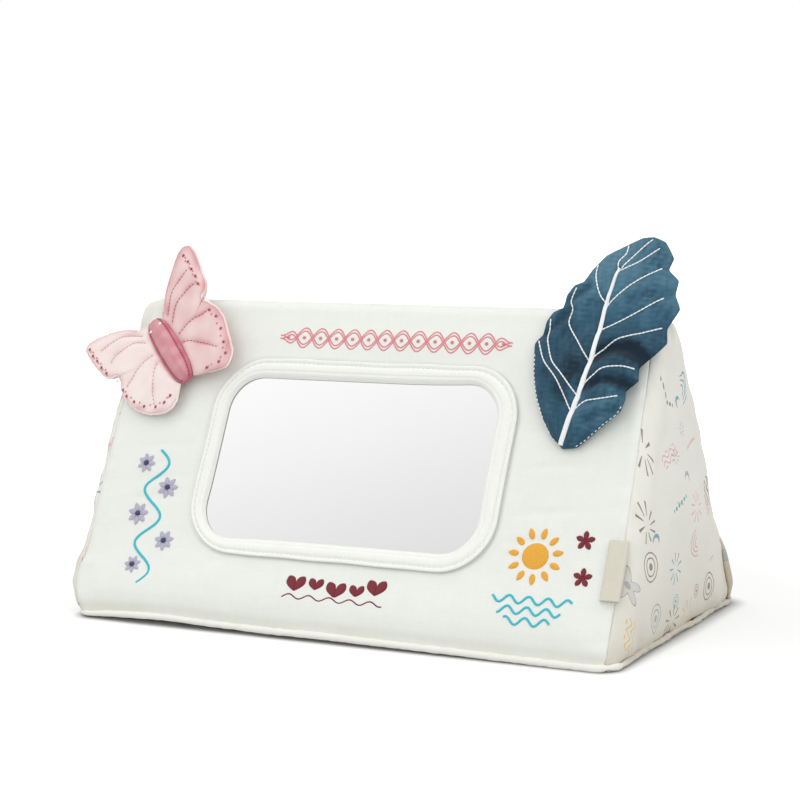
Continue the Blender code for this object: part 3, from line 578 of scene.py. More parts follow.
# %% Shape helpers
def ripple(u, v, seed, wavelength, count=7):
    """Sum over waves of sin(2 pi (u cos a + v sin a) / w + p), scaled to stay near -1 to 1."""
    draw = np.random.default_rng(seed)
    angle, phase = draw.uniform(0, 2 * np.pi, (2, count))
    reach = wavelength * draw.uniform(0.7, 1.5, count)
    turns = (u[..., None] * np.cos(angle) + v[..., None] * np.sin(angle)) / reach
    return np.sin(2 * np.pi * turns + phase).sum(-1) / math.sqrt(2 * count)


def soft_step(value):
    """3 t^2 - 2 t^3 with t held between 0 and 1."""
    value = np.clip(value, 0, 1)
    return value * value * (3 - 2 * value)


def smooth_line(points, count, closed=False, tight=0.0):
    """Evenly spaced points on a Catmull-Rom curve through the given ones; tight draws it to straight lines."""
    points = np.asarray(points, float)
    if closed:
        padded = np.vstack((points[-1:], points, points[:2]))
    else:
        padded = np.vstack((2 * points[0] - points[1], points, 2 * points[-1] - points[-2]))
    step = np.linspace(0, 1, 13)[:, None, None]
    before, start, end, after = padded[:-3], padded[1:-2], padded[2:-1], padded[3:]
    curve = 0.5 * (
        2 * start + (end - before) * step + (2 * before - 5 * start + 4 * end - after) * step**2
        + (3 * start - before - 3 * end + after) * step**3
    )
    curve = curve * (1 - tight) + (start + (end - start) * step) * tight
    curve = curve.transpose(1, 0, 2).reshape(-1, points.shape[1])
    run = run_length(curve, False)
    even = np.linspace(0, run[-1], count)
    return np.stack([np.interp(even, run, column) for column in curve.T], axis=1)


def line_distance(places, line):
    """Shortest distance from each place to a polyline: clamped projection on each of its segments."""
    start, step = line[:-1], np.diff(line, axis=0)
    offset = places[..., None, :] - start
    along = np.clip((offset * step).sum(-1) / np.maximum((step**2).sum(-1), 1e-12), 0, 1)
    return np.linalg.norm(offset - along[..., None] * step, axis=-1).min(-1)


def moved(matrix, points):
    """Points of a local frame in the row frame."""
    return points @ matrix[:3, :3].T + matrix[:3, 3]


def spin(degrees, axis):
    return np.array(Matrix.Rotation(math.radians(degrees), 4, axis))


def shift(x, y, z):
    return np.array(Matrix.Translation((x, y, z)))


# %% [markdown]
# The wedge's skin is one formula. Seen from the end it is a straight slope that runs into a round
# ridge, and the section shrinks as it goes round an end corner. The front slope has its own frame,
# with X along the wedge, Y up the slope and Z out of it, in which the window and all the sewn-on
# pieces are placed.

# %% Wedge skin
def shares_up(low, rows, ridge_rows):
    """A column of shares: even rows up the slope from its low end, then even rows over the ridge."""
    slope_part, ridge_part = np.linspace(low, SLOPE_SHARE, rows), np.linspace(SLOPE_SHARE, 1, ridge_rows)
    return np.concatenate((slope_part, ridge_part[1:]))[:, None]


def section(share, inset):
    """Depth and height of the front half at a share of the way up: slope to 0.8, then round the ridge."""
    radius = RIDGE_RADIUS - (RIDGE_RADIUS - RIDGE_END_RADIUS) * inset / END_CORNER
    centre = PEAK - (inset + radius) / math.cos(SLOPE)
    turn = SLOPE * (1 - share) / (1 - SLOPE_SHARE)
    top = centre + radius * math.cos(SLOPE)
    height = FOOT + (top - FOOT) * share / SLOPE_SHARE
    on_ridge = share > SLOPE_SHARE
    depth = np.where(on_ridge, radius * np.sin(turn), (PEAK - height) / math.tan(SLOPE) - inset / math.sin(SLOPE))
    return depth, np.where(on_ridge, centre + radius * np.cos(turn), height)


LEFT_FOOT_LINE = smooth_line(LEFT_FOOT, 120)


def left_line(height):
    """How much further the left end is drawn in than the right one: the foot is tucked, and the top leans in."""
    return np.interp(height, *LEFT_FOOT_LINE.T) + 0.0032 * soft_step((height - 0.105) / 0.030)


def drawn_in(across, height):
    """X less the ends' draw: 5.5 mm x (height / ridge height)^2, and the left end's line, over the last 30 mm."""
    draw = RIDGE_DRAW * (height / RIDGE_HEIGHT) ** 2 + (across < 0) * left_line(height)
    return across - np.sign(across) * draw * soft_step((np.abs(across) - CORNER_START + DRAW_RUN) / DRAW_RUN)


def squarer(inset, share, inward=0.0):
    """The left end's insets: they shrink to a quarter towards the ridge, because that corner is squarer."""
    return inward + (inset - inward) * (1 - 0.75 * soft_step((share - 0.35) / 0.45))


def skin(across, inset, side, share, inward=0.0):
    """Points of the skin; side runs from 1 in front to -1 behind, and the ends bulge in the middle."""
    depth, height = section(share, np.where(across < 0, squarer(inset, share, inward), inset))
    upward = np.sin(np.pi * np.clip(share / SLOPE_SHARE, 0, 1))
    bulge = END_BULGE * ((1 - side**2) * upward) ** 2
    across = drawn_in(across + np.sign(across) * bulge, height)
    return np.stack(np.broadcast_arrays(across, -depth * side, height), axis=-1)


def corner(turn, side, inward=0.0):
    """Plan stations round an end corner: 0 is the long face and a quarter turn is the end."""
    radius = END_CORNER - inward
    return CORNER_START + radius * np.sin(turn), END_CORNER - radius * np.cos(turn), np.full_like(turn, side)


SLOPE_OUT = np.array((0, -math.sin(SLOPE), math.cos(SLOPE)))
SLOPE_UP = np.array((0, math.cos(SLOPE), math.sin(SLOPE)))


def on_slope(across, rise, lift=0.0):
    """The front slope's frame as a matrix: X along, Y up the slope, Z out of it."""
    matrix = np.eye(4)
    matrix[:3, 0], matrix[:3, 1], matrix[:3, 2] = (1, 0, 0), SLOPE_UP, SLOPE_OUT
    matrix[:3, 3] = np.array((across, -DEPTH / 2, 0)) + SLOPE_UP * rise + SLOPE_OUT * lift
    return matrix


def outside_opening(across, rise, grow=0.0):
    """Signed distance to the window's rounded rectangle, grown by a margin: below 0 is inside."""
    away = np.abs(np.stack((across, rise), axis=-1) - OPENING_MIDDLE) - (OPENING / 2 - OPENING_RADIUS)
    beyond = np.linalg.norm(np.maximum(away, 0), axis=-1)
    return beyond + np.minimum(away.max(-1), 0) - OPENING_RADIUS - grow


LIFT_LINE = smooth_line(np.array((
    (-170, 0), (-158, 0.0), (-142, 0.8), (-125, 2.0), (-97, 2.9), (-63, 2.1), (-35, 1.6), (0, 1.7),
    (48, 1.25), (103, 0.45), (150, 0), (170, 0),
)) / 1000, 200)


def lifted(points):
    """Raises the front of the base off the floor by the lift line, faded out 35 mm up and 40 mm back."""
    raised = points.copy()
    lift = np.maximum(np.interp(points[..., 0], *LIFT_LINE.T), 0)
    fade = soft_step((-points[..., 1] - 0.045) / 0.035) * soft_step(1 - points[..., 2] / 0.035)
    raised[..., 2] += lift * fade
    return raised


print("ridge", round(RIDGE_HEIGHT, 4), "m high; foot of the cloth", round(FOOT, 5))

# %% [markdown]
# The front cover is one piece of cotton. It crowns a little between the mirror frame and the seams,
# dents softly, puckers beside the side seams and tucks in just above the welt. The same relief
# formula later seats the embroidery, so the threads lie on the cloth wherever it swells. The cover's
# lower edge also lifts off the floor near the left, where such a light wedge never lies quite flat.

# %% Front cover
HEM_SHARE, CLOTH_THICKNESS = -0.0123, 0.0011
CREASES = np.array((
    (-0.113, 0.116, 0.016), (-0.118, 0.101, 0.020), (-0.112, 0.083, 0.018), (-0.121, 0.071, 0.014),
    (0.111, 0.122, 0.016), (0.117, 0.103, 0.018), (0.113, 0.078, 0.020), (0.108, 0.063, 0.013),
))


def front_relief(across, rise):
    """Height of the front cover over the flat slope: crown, belly, dents, seam puckers and creases."""
    seam_across = np.abs(drawn_in(np.where(across < 0, -1, 1) * SEAM_ACROSS, rise * math.sin(SLOPE)))
    seam = np.maximum(seam_across - np.abs(across), 0)
    room = np.minimum(np.minimum(seam - 0.0049, rise - FOOT), FACE_LENGTH - RIDGE_RADIUS * 2 - rise)
    from_ring = outside_opening(across, rise, FRAME_BAND + GAP)
    free = soft_step(from_ring / 0.012)
    crown = FRONT_CROWN * soft_step(room / CROWN_RUN) * soft_step(from_ring / CROWN_RUN)
    belly = 0.0016 * soft_step((rise - FOOT) / 0.012) * soft_step((0.055 - rise) / 0.036) * soft_step(seam / 0.02)
    belly = belly - 0.0022 * np.exp(-(((rise - 0.0050) / 0.0032) ** 2))
    dents = 0.0005 * ripple(across, rise, 5, 0.055) * free
    puckers = 0.0004 * np.exp(-seam / 0.007) * soft_step(seam / 0.002) * ripple(across * 0.3, rise, 8, 0.009)
    hem = 0.00025 * np.exp(-np.maximum(rise - FOOT, 0) / 0.006) * ripple(across, rise * 0.2, 9, 0.010)
    height = crown + belly + dents + puckers * free + hem
    for middle, level, half in CREASES:
        along = np.exp(-(((across - middle) / half) ** 2))
        height = height - 0.00045 * along * np.exp(-(((rise - level - (across - middle) * 0.12) / 0.0022) ** 2)) * free
    height = height - 0.0009 * np.exp(-(((from_ring + 0.0004) / 0.0012) ** 2))
    return height - 0.00028 * np.exp(-((seam / 0.0016) ** 2))


def make_front_cover():
    turn = np.linspace(0, SEAM_TURN, 9)
    arc_x, arc_inset, _ = corner(turn[1:], 1)
    across = np.concatenate((-arc_x[::-1], np.linspace(-CORNER_START, CORNER_START, 250), arc_x))
    inset = np.concatenate((arc_inset[::-1], np.zeros(250), arc_inset))
    points = skin(across[None], inset[None], np.ones((1, len(across))), shares_up(HEM_SHARE, 150, 15))
    rise = points[..., 2] / math.sin(SLOPE)
    points = lifted(points + SLOPE_OUT * front_relief(points[..., 0], rise)[..., None])
    middle = (points[1:, 1:] + points[:-1, :-1]) / 2
    keep = outside_opening(middle[..., 0], middle[..., 2] / math.sin(SLOPE)) > 0.0032
    flat = np.stack((points[..., 0], rise), axis=-1)
    # Painted shade: a band just above the welt is darkened, more at the left, for the shade in the crease there.
    left = soft_step((-points[..., 0] - 0.09) / 0.05)
    tint = (0.25 + 0.35 * left) * np.exp(-(((rise - 0.004) / 0.0045) ** 2))
    return surface(
        "front_cover", points, cover_cotton, "wedge", flat=flat, keep=keep, thickness=CLOTH_THICKNESS, tint=tint,
        stands_for=["front_panel"], slot="cover_cotton",
    )


def declare_cover(piece):
    """Reads a cover's UV map and face areas; nothing is done with them, and the cover comes back as it was."""
    uv = np.empty(len(piece.data.loops) * 2, np.float32)
    piece.data.uv_layers[0].data.foreach_get("uv", uv)
    cells = np.empty(len(piece.data.polygons), np.float32)
    piece.data.polygons.foreach_get("area", cells)
    return piece


front_cover = make_front_cover()
declare_cover(front_cover)

# %% [markdown]
# The two ends and the back share the printed cotton. Each end wraps a little way round the front and
# back corners, bulges with the foam behind it and gathers into small puckers along its seams. The
# left end is the right one mirrored and run the other way, so that its faces still point out.

# %% End covers and back cover
SEAM_LOW_SHARE = 0.97


def back_seam_turn(share):
    """Where round the corner the back seam runs: it swings towards the end in the lowest third."""
    swing = soft_step((0.30 - share) / 0.22)
    return np.pi / 2 * (SEAM_CORNER_SHARE + (SEAM_LOW_SHARE - SEAM_CORNER_SHARE) * swing)


def pressed_seam(away):
    """The dip beside a sewn seam: 0.28 mm exp(-(distance / 1.6 mm)^2)."""
    return -0.00028 * np.exp(-((away / 0.0016) ** 2))


def make_end_cover(name, side, seed):
    share = shares_up(HEM_SHARE, 120, 12)
    front_turn = np.linspace(SEAM_TURN, math.pi / 2, 14)[None] + 0 * share
    back_turn = back_seam_turn(share) + (np.pi / 2 - back_seam_turn(share)) * np.linspace(1, 0, 14)[None]
    middle_side = np.linspace(1, -1, 92)[1:-1][None] + 0 * share
    middle = (np.full_like(middle_side, LENGTH / 2), np.full_like(middle_side, END_CORNER), middle_side)
    stations = (corner(front_turn, 1.0), middle, corner(back_turn, -1.0))
    across, inset, way = (np.concatenate(parts, axis=1) for parts in zip(*stations))
    points = skin(across, inset if side > 0 else squarer(inset, share), way, share)
    run = row_runs(points)
    around = run - run[:, run.shape[1] // 2][:, None]
    up = run_length(points[:, run.shape[1] // 2], False)[:, None] + 0 * around
    to_seam = np.minimum(run, run[:, -1:] - run)
    fade = soft_step(to_seam / 0.006) * soft_step((1 - share) / 0.1)
    dents = 0.0011 * ripple(around, up, seed, 0.05) * fade
    puckers = 0.0008 * np.exp(-to_seam / 0.012) * soft_step(to_seam / 0.002)
    puckers = puckers * ripple(around * 0.3, up, seed + 1, 0.013)
    gathers = 0.0010 * np.exp(-((up - 0.006) / 0.008) ** 2) * ripple(around, up * 0.35, seed + 2, 0.012)
    gathers = gathers * soft_step(to_seam / 0.004)
    belly = 0.0012 * soft_step((up - 0.004) / 0.012) * soft_step((0.07 - up) / 0.05) * soft_step(to_seam / 0.02)
    tuck = -0.0024 * np.clip(1 - up / 0.008, 0, 1) ** 2
    roll = 0.0018 * np.exp(-(((run[:, -1:] - run - 0.008) / 0.006) ** 2))
    belly = belly + roll * soft_step((up - 0.05) / 0.03) * fade
    height = dents + puckers + gathers + belly + tuck + pressed_seam(to_seam)
    points = points + grid_normals(points) * height[..., None]
    flat = np.stack((around, up), axis=-1)
    # Painted shade: the ends darken towards the floor, most in the lowest few millimetres.
    tint = 0.28 * np.exp(-((up / 0.035) ** 2)) + 0.25 * np.exp(-((up / 0.006) ** 2))
    if side < 0:
        mirrored = points[:, ::-1] * (-1, 1, 1)
        mirrored[..., 0] += left_line(mirrored[..., 2])
        points, flat, tint = mirrored, flat[:, ::-1] + (0.31, 0.17), tint[:, ::-1]
    return surface(
        name, lifted(points), printed_cotton, "wedge", flat=flat, thickness=CLOTH_THICKNESS, tint=tint,
        stands_for=[name.replace("cover", "panel")], slot="printed_cotton",
    )


right_end_cover = make_end_cover("right_end_cover", 1, 21)
left_end_cover = make_end_cover("left_end_cover", -1, 31)
declare_cover(right_end_cover)
declare_cover(left_end_cover)


def make_back_cover():
    share = shares_up(HEM_SHARE, 100, 12)
    turn = back_seam_turn(share) * np.linspace(0, 1, 13)[None, 1:]
    arc_x, arc_inset, _ = corner(turn, -1)
    straight = np.linspace(-CORNER_START, CORNER_START, 150)[None] + 0 * share
    across = np.concatenate((-arc_x[:, ::-1], straight, arc_x), axis=1)
    inset = np.concatenate((arc_inset[:, ::-1], 0 * straight, arc_inset), axis=1)
    points = skin(across, inset, -np.ones_like(across), share)[:, ::-1]
    rise = points[..., 2] / math.sin(SLOPE)
    run = row_runs(points)
    to_seam = np.minimum(run, run[:, -1:] - run)
    room = np.minimum(np.minimum(to_seam, rise - FOOT), FACE_LENGTH - 0.02 - rise)
    height = 0.0012 * soft_step(room / 0.03) + 0.0006 * ripple(points[..., 0], rise, 41, 0.06) * soft_step(room / 0.01)
    ear = soft_step((rise - 0.004) / 0.012) * soft_step((0.062 - rise) / 0.03)
    height = height + 0.0027 * ear * np.exp(-(((to_seam - 0.0065) / 0.0058) ** 2)) + pressed_seam(to_seam)
    height = height - 0.0018 * np.clip(1 - rise / 0.010, 0, 1) ** 2
    points = points + grid_normals(points) * height[..., None]
    flat = np.stack((0.9 - points[..., 0], rise), axis=-1)
    # Painted shade on the back's lower corners beside the side seams, where the bulging ears face away from the light.
    tint = 0.95 * np.exp(-((to_seam / 0.012) ** 4)) * soft_step((0.078 - rise) / 0.03)
    return surface(
        "back_cover", points, printed_cotton, "wedge", flat=flat, thickness=CLOTH_THICKNESS, tint=tint,
        stands_for=["back_panel"], slot="printed_cotton",
    )


back_cover = make_back_cover()
declare_cover(back_cover)

# %% [markdown]
# Round the base runs a welt: the cover's own cotton rolled over a cord. It is a circle carried
# round a rounded rectangle, a little flattened where it meets the floor, uneven as hand-turned cloth
# is, and lifted along the front where the base hangs free.

# %% Welt
def rounded_rectangle(half_size, radius, count):
    """Evenly spaced points and outward directions round a rectangle with round corners, anticlockwise."""
    angle = np.linspace(0, np.pi / 2, 25)
    quarter = np.stack((np.cos(angle), np.sin(angle)), axis=1)
    turns = [np.array(((c, -s), (s, c))) for c, s in ((1, 0), (0, 1), (-1, 0), (0, -1))]
    signs = ((1, 1), (-1, 1), (-1, -1), (1, -1))
    inner = np.array(half_size) - radius
    arcs = [np.array(sign) * inner + radius * quarter @ turn.T for sign, turn in zip(signs, turns)]
    outs = [quarter @ turn.T for turn in turns]
    points, out = np.vstack(arcs), np.vstack(outs)
    run = run_length(points, True)
    even = np.linspace(0, run[-1], count, endpoint=False)
    points, out = np.vstack((points, points[:1])), np.vstack((out, out[:1]))
    spots = np.stack([np.interp(even, run, column) for column in points.T], axis=1)
    ways = np.stack([np.interp(even, run, column) for column in out.T], axis=1)
    return spots, ways / np.linalg.norm(ways, axis=1, keepdims=True), even


BASE_HALF = np.array(((LENGTH - LEFT_FOOT_DRAW) / 2, DEPTH / 2))
WELT_RADIUS, WELT_COUNT = 0.00190, 1400


def base_ring(inward, height, count=WELT_COUNT):
    """A ring round the base at a distance in from its edge and a height."""
    spots, ways, run = rounded_rectangle(BASE_HALF - inward, END_CORNER - inward, count)
    spots = spots + (LEFT_FOOT_DRAW / 2, 0)
    return np.column_stack((spots, np.full(count, height))), ways, run


def tube_round_base(radius, wall):
    """A tube round the base: circles of a radius that swells and shrinks, swaying a little, in grid order."""
    spots, ways, run = base_ring(WELT_RADIUS, WELT_RADIUS)
    angle = np.linspace(0, 2 * np.pi, 18, endpoint=False)[:, None]
    at_right = soft_step((spots[:, 0] - LENGTH / 2 + 0.012) / 0.008)
    gathers = (0.05 + 0.09 * at_right) * ripple(run, run * 0, 52, 0.008) + 0.05 * ripple(run, run * 0, 55, 0.003)
    slimmer = 0.34 * soft_step((-spots[:, 0] - 0.118) / 0.03) + 0.22 * at_right
    thickness = (radius * (1 - slimmer + wall * (0.09 * ripple(run, run * 0, 51, 0.03) + gathers)))[None]
    sway = 0.0004 * ripple(run, run * 0, 53, 0.05)
    waves = 0.0011 * at_right * (0.55 + 0.6 * ripple(run, run * 0, 54, 0.05))
    out = thickness * np.cos(angle) + sway
    up = np.maximum(spots[:, 2] + thickness * np.sin(angle), 0.0002) + np.maximum(waves, 0)
    return lifted(np.stack((spots[:, 0] + ways[:, 0] * out, spots[:, 1] + ways[:, 1] * out, up), axis=-1))


welt_points = tube_round_base(WELT_RADIUS, 1)
# Painted shade on the welt at the right end, where the roll is in shade.
welt_tint = 0.75 * soft_step((welt_points[..., 0] - LENGTH / 2 + 0.012) / 0.009)
welt_tint = welt_tint * soft_step((welt_points[..., 1] + 0.088) / 0.02)
base_welt = surface(
    "base_welt", welt_points, welt_cotton_painted_light_and_shade, "wedge", closed=(True, True), tint=welt_tint,
    stands_for=["base_piping"], slot="cover_cotton",
)

# %% [markdown]
# Inside the welt runs a cord, and inside the covers a block of foam. Nobody sees them, but they hold
# the toy up, so they follow the same lifted front as the cloth. The foam has a shallow pocket behind
# the window, where the mirror lies. The underside is one flat cloth that rises with the front edge.

# %% Cord, foam and underside
welt_cord = surface(
    "welt_cord", tube_round_base(WELT_RADIUS * 0.62, 0), filling, "wedge", closed=(True, True),
    stands_for=["piping_cord"], slot="filling",
)


def make_foam():
    """The skin drawn in by 2.4 mm, closed under itself; the pocket is pushed in along the slope."""
    inward, columns = 0.0024, 150
    turn, side = np.linspace(0, np.pi / 2, 7), np.linspace(1, -1, 42)[1:-1]
    middle = (np.full(40, LENGTH / 2 - inward), np.full(40, END_CORNER), side)
    end = [np.concatenate(parts) for parts in zip(corner(turn, 1.0, inward), middle, corner(turn[::-1], -1.0, inward))]
    face = np.linspace(-CORNER_START, CORNER_START, columns)[1:-1]
    front = (face, np.full(columns - 2, inward), np.ones(columns - 2))
    back = (face[::-1], np.full(columns - 2, inward), -np.ones(columns - 2))
    left = (-end[0][::-1], end[1][::-1], end[2][::-1])
    across, inset, way = (np.concatenate(parts)[None] for parts in zip(left, front, end, back))
    walls = skin(across, inset, way, shares_up(0.05, 86, 9), inward)
    into_pocket = -outside_opening(walls[..., 0], walls[..., 2] / math.sin(SLOPE), 0.0066)
    push = 0.0050 * soft_step(into_pocket / 0.002) * (way > 0.99)
    walls = walls - SLOPE_OUT * push[..., None]
    foot = walls[0] * (1, 1, 0) * 0.975 + (0, 0, 0.0022)
    middle_line = foot * (0, 0, 1)
    bottom = [middle_line + (foot - middle_line) * reach for reach in (0, 0.35, 0.7, 0.9, 1.0)]
    return surface(
        "foam_block", lifted(np.concatenate((bottom, walls))), foam, "wedge", closed=(False, True),
        stands_for=["foam_wedge"], slot="foam",
    )


def make_underside():
    """Rings that shrink from just inside the welt to the middle, on a height that follows the lift."""
    edge, _, _ = base_ring(0.0030, 0.0009, 360)
    rings = [edge * (reach, reach, 1) for reach in (0.0, 0.15, 0.3, 0.45, 0.6, 0.7, 0.8, 0.88, 0.94, 1.0)]
    points = lifted(np.stack(rings)[:, ::-1])
    return surface(
        "underside_cloth", points, printed_cotton, "wedge", closed=(False, True), flat=points[..., :2] + (0.2, 0.2),
        thickness=0.0008, stands_for=["base_panel"], slot="printed_cotton",
    )


foam_block, underside_cloth = make_foam(), make_underside()
declare_cover(underside_cloth)

# %% [markdown]
# The mirror frame is a flat padded band. Its section is drawn once, from the outer foot over the
# soft top to the wall beside the mirror, with a groove where a row of stitches presses it down. The
# section is then carried round the window's rounded rectangle, with small swellings between the
# stitches, because each stitch pulls the padding in.

# %% Mirror frame
FRAME_PITCH, STITCH_ROW = 0.0029, 0.0074
FRAME_SECTION = smooth_line(
    [
        (0.0076, -0.0005), (0.0083, 0.0002), (0.0092, 0.0009), (0.0096, 0.0016), (0.0092, 0.0022), (0.0084, 0.0022),
        (0.0078, 0.0019),
        (0.0073, 0.0015), (0.0068, 0.0017), (0.0060, 0.0021), (0.0048, 0.0022), (0.0034, 0.0020), (0.0028, 0.0016),
        (0.0024, 0.0015), (0.0018, 0.0015), (0.0010, 0.0011), (0.0003, 0.0003), (-0.0002, -0.0006), (-0.0006, -0.0015),
    ], 60,
)


def frame_points(offset, height, count):
    """Points round the window at an offset outward from its edge and a height over the slope."""
    spots, ways, run = rounded_rectangle(OPENING / 2, OPENING_RADIUS, count)
    wavy = 0.0003 * ripple(spots[:, 0], spots[:, 1], 61, 0.05)
    u, v = (spots / (OPENING / 2)).T
    narrow = 1 - 0.21 * soft_step((-u - 0.75) / 0.2)
    wider = 0.0028 * soft_step((u - 0.72) / 0.25) * (0.75 + 0.35 * v)
    sharper = np.where(u > 0, 0.0034, 0.0022) * np.clip(u * v, 0, 1) ** 3
    spots, swell = spots + OPENING_MIDDLE, np.sin(np.pi * run / FRAME_PITCH) ** 2
    spread = (offset / FRAME_BAND)[:, None] * wavy + 0.0042 + (offset[:, None] - 0.0042) * narrow
    inner = np.clip(1 - offset / FRAME_BAND, 0, 1)[:, None]
    spread = spread - wider * inner + sharper * np.maximum(inner, 0.4 * (u > 0))
    puff = 0.00034 * np.exp(-((offset - STITCH_ROW) / 0.0011) ** 2)[:, None] * (swell - 0.5)
    soft = 0.00016 * ripple(spots[:, 0], spots[:, 1], 62, 0.03) * np.clip(height / 0.0022, 0, 1)[:, None]
    flat = spots[None] + ways[None] * spread[..., None]
    local = np.concatenate((flat, (height[:, None] + puff + soft)[..., None]), axis=-1)
    return moved(on_slope(0, 0), local), ways


ring_points, _ = frame_points(*FRAME_SECTION.T, 640)
mirror_frame = surface(
    "mirror_frame", ring_points, frame_cotton, "wedge", closed=(False, True),
    stands_for=["mirror_frame_cover"], slot="cover_cotton",
)
padding_section = np.array((
    (0.0080, 0.0002), (0.0083, 0.0007), (0.0076, 0.0008), (0.0050, 0.0015), (0.0024, 0.0008), (0.0016, 0.0006),
    (0.0015, 0.0002),
))
frame_wadding = surface(
    "frame_wadding", frame_points(*padding_section.T, 200)[0], filling, "wedge", closed=(True, True),
    stands_for=["mirror_frame_padding"], slot="filling",
)

# %% [markdown]
# A stitch is a tiny rounded bar of thread. One template bar is stretched, turned and placed for
# every stitch in a row, all at once, from the stitches' middles, directions and the cloth's normals
# there. Rows of them make the seams, the veins of the wings and the leaf, and the little knots.

# %% Stitches
BAR_RINGS, BAR_SIDES = 7, 7


def stitches(name, middles, ways, outs, half_length, radius, material, body, flatness=0.7, slot=None):
    """Rounded bars: x = half_length sin(u), r = radius cos(u)^0.5, set along ways and out along outs."""
    u = np.linspace(-np.pi / 2, np.pi / 2, BAR_RINGS)[:, None]
    v = np.linspace(0, 2 * np.pi, BAR_SIDES, endpoint=False)[None]
    girth = np.sqrt(np.maximum(np.cos(u), 0)) * radius
    template = np.stack((
        np.sin(u) + 0 * v, girth * np.cos(v), girth * np.sin(v) * flatness
    ), axis=-1).reshape(-1, 3)
    ways = ways / np.linalg.norm(ways, axis=1, keepdims=True)
    sides = np.cross(outs, ways)
    sides /= np.linalg.norm(sides, axis=1, keepdims=True)
    outs = np.cross(ways, sides)
    half = np.broadcast_to(half_length, len(middles))[:, None, None]
    points = (
        middles[:, None] + template[None, :, :1] * half * ways[:, None]
        + template[None, :, 1:2] * sides[:, None] + template[None, :, 2:] * outs[:, None]
    )
    corner_rows, corner_columns = grid_cells(BAR_RINGS, BAR_SIDES, (False, True))
    faces = corner_rows * BAR_SIDES + corner_columns % BAR_SIDES
    count = len(template)
    all_faces = (faces[None] + (np.arange(len(middles)) * count)[:, None, None]).reshape(-1, 4)
    uv = np.stack((corner_rows * 0.0004, corner_columns * 0.0002), axis=-1)
    corner_uv = np.broadcast_to(uv, (len(middles), *uv.shape))
    return new_piece(name, points, all_faces, corner_uv, material, body, slot=slot)


def along_line(line, pitch):
    """Middles and directions of evenly pitched stitches on a 3-D line."""
    run = run_length(line, False)
    count = max(int(run[-1] / pitch), 1)
    at = (np.arange(count) + 0.5) * run[-1] / count
    middles = np.stack([np.interp(at, run, column) for column in line.T], axis=1)
    ahead = np.stack([np.interp(np.minimum(at + pitch / 4, run[-1]), run, column) for column in line.T], axis=1)
    behind = np.stack([np.interp(np.maximum(at - pitch / 4, 0), run, column) for column in line.T], axis=1)
    return middles, ahead - behind


def sew_rows(name, rows, out, half_length, radius, material, body, slot):
    """Rows of stitches (middles and directions) as one piece, all facing one way out."""
    middles, ways = (np.vstack(part) for part in zip(*rows))
    outs = np.broadcast_to(out, middles.shape)
    return stitches(name, middles, ways, outs, half_length, radius, material, body, slot=slot)


def make_frame_stitches():
    count = round(run_length(rounded_rectangle(OPENING / 2, OPENING_RADIUS, 200)[0], True)[-1] / FRAME_PITCH)
    line, _ = frame_points(np.array([STITCH_ROW]), np.array([0.0016]), count)
    forward = np.roll(line[0], -1, axis=0) - np.roll(line[0], 1, axis=0)
    outs = np.broadcast_to(SLOPE_OUT, line[0].shape)
    stitches("frame_stitches", line[0], forward, outs, 0.00100, 0.00034, cream_thread, "wedge", slot="cover_cotton")


make_frame_stitches()

# %% [markdown]
# Embroidered shapes are satin stitch: a band of threads laid side by side over a little padding. A
# band is a path with a half width at each point, and its section is half an ellipse that dips into
# the cloth at both edges. A petal or a disc is a short band whose width swells and shrinks, and a
# thin even band is a stem stitch. All bands of one colour are one piece.

# %% Satin bands
def satin_bands(name, bands, material, seat, body, crown=0.0006, slot=None):
    """bands: (path points, half widths). seat turns flat places and a lift into points of the row frame."""
    across = np.linspace(-1, 1, 9)
    all_points, all_faces, all_uv, base = [], [], [], 0
    for path, half in bands:
        way = np.gradient(path, axis=0)
        way /= np.linalg.norm(way, axis=1, keepdims=True)
        side = np.stack((way[:, 1], -way[:, 0]), axis=1)
        flat = path[:, None] + side[:, None] * (half[:, None] * across[None])[..., None]
        thick = crown * np.minimum(half / 0.0009, 1)
        lift = thick[:, None] * np.sqrt(np.maximum(1 - across**2, 0))[None] - 0.00012 * (np.abs(across) == 1)
        points = seat(flat, lift)
        rows, columns = flat.shape[:2]
        corner_rows, corner_columns = grid_cells(rows, columns, (False, False))
        run = run_length(path, False)
        uv = np.stack((run[corner_rows], (half[corner_rows] * across[corner_columns])), axis=-1)
        all_points.append(points.reshape(-1, 3))
        all_faces.append(corner_rows * columns + corner_columns + base)
        all_uv.append(uv)
        base += rows * columns
    return new_piece(name, np.vstack(all_points), np.vstack(all_faces), np.vstack(all_uv), material, body, slot=slot)


def seat_on_front(flat, lift):
    """Places on the front slope, on top of the cloth's own relief."""
    height = front_relief(flat[..., 0], flat[..., 1]) + lift + 0.00005
    return moved(on_slope(0, 0), np.concatenate((flat, height[..., None]), axis=-1))


def petal(root, tip, width, blunt=0.8, count=18):
    """A band from root to tip whose half width is width/2 sin(pi t^blunt)^0.7."""
    share = np.linspace(0, 1, count)
    root, tip = np.array(root, float), np.array(tip, float)
    return root + (tip - root) * share[:, None], width / 2 * np.sin(np.pi * share**blunt) ** 0.7 + 0.00005


def around(middle, radius, angle):
    return np.array(middle) + radius * np.array((math.cos(angle), math.sin(angle)))


# %% [markdown]
# Four small embroideries sit on the front: a winding turquoise thread with daisies at the left, a
# row of maroon hearts under the mirror, a golden sun over turquoise water at the right, and a rose
# braid above the mirror. They are plain nursery motifs, worked out from circles, waves and petals.

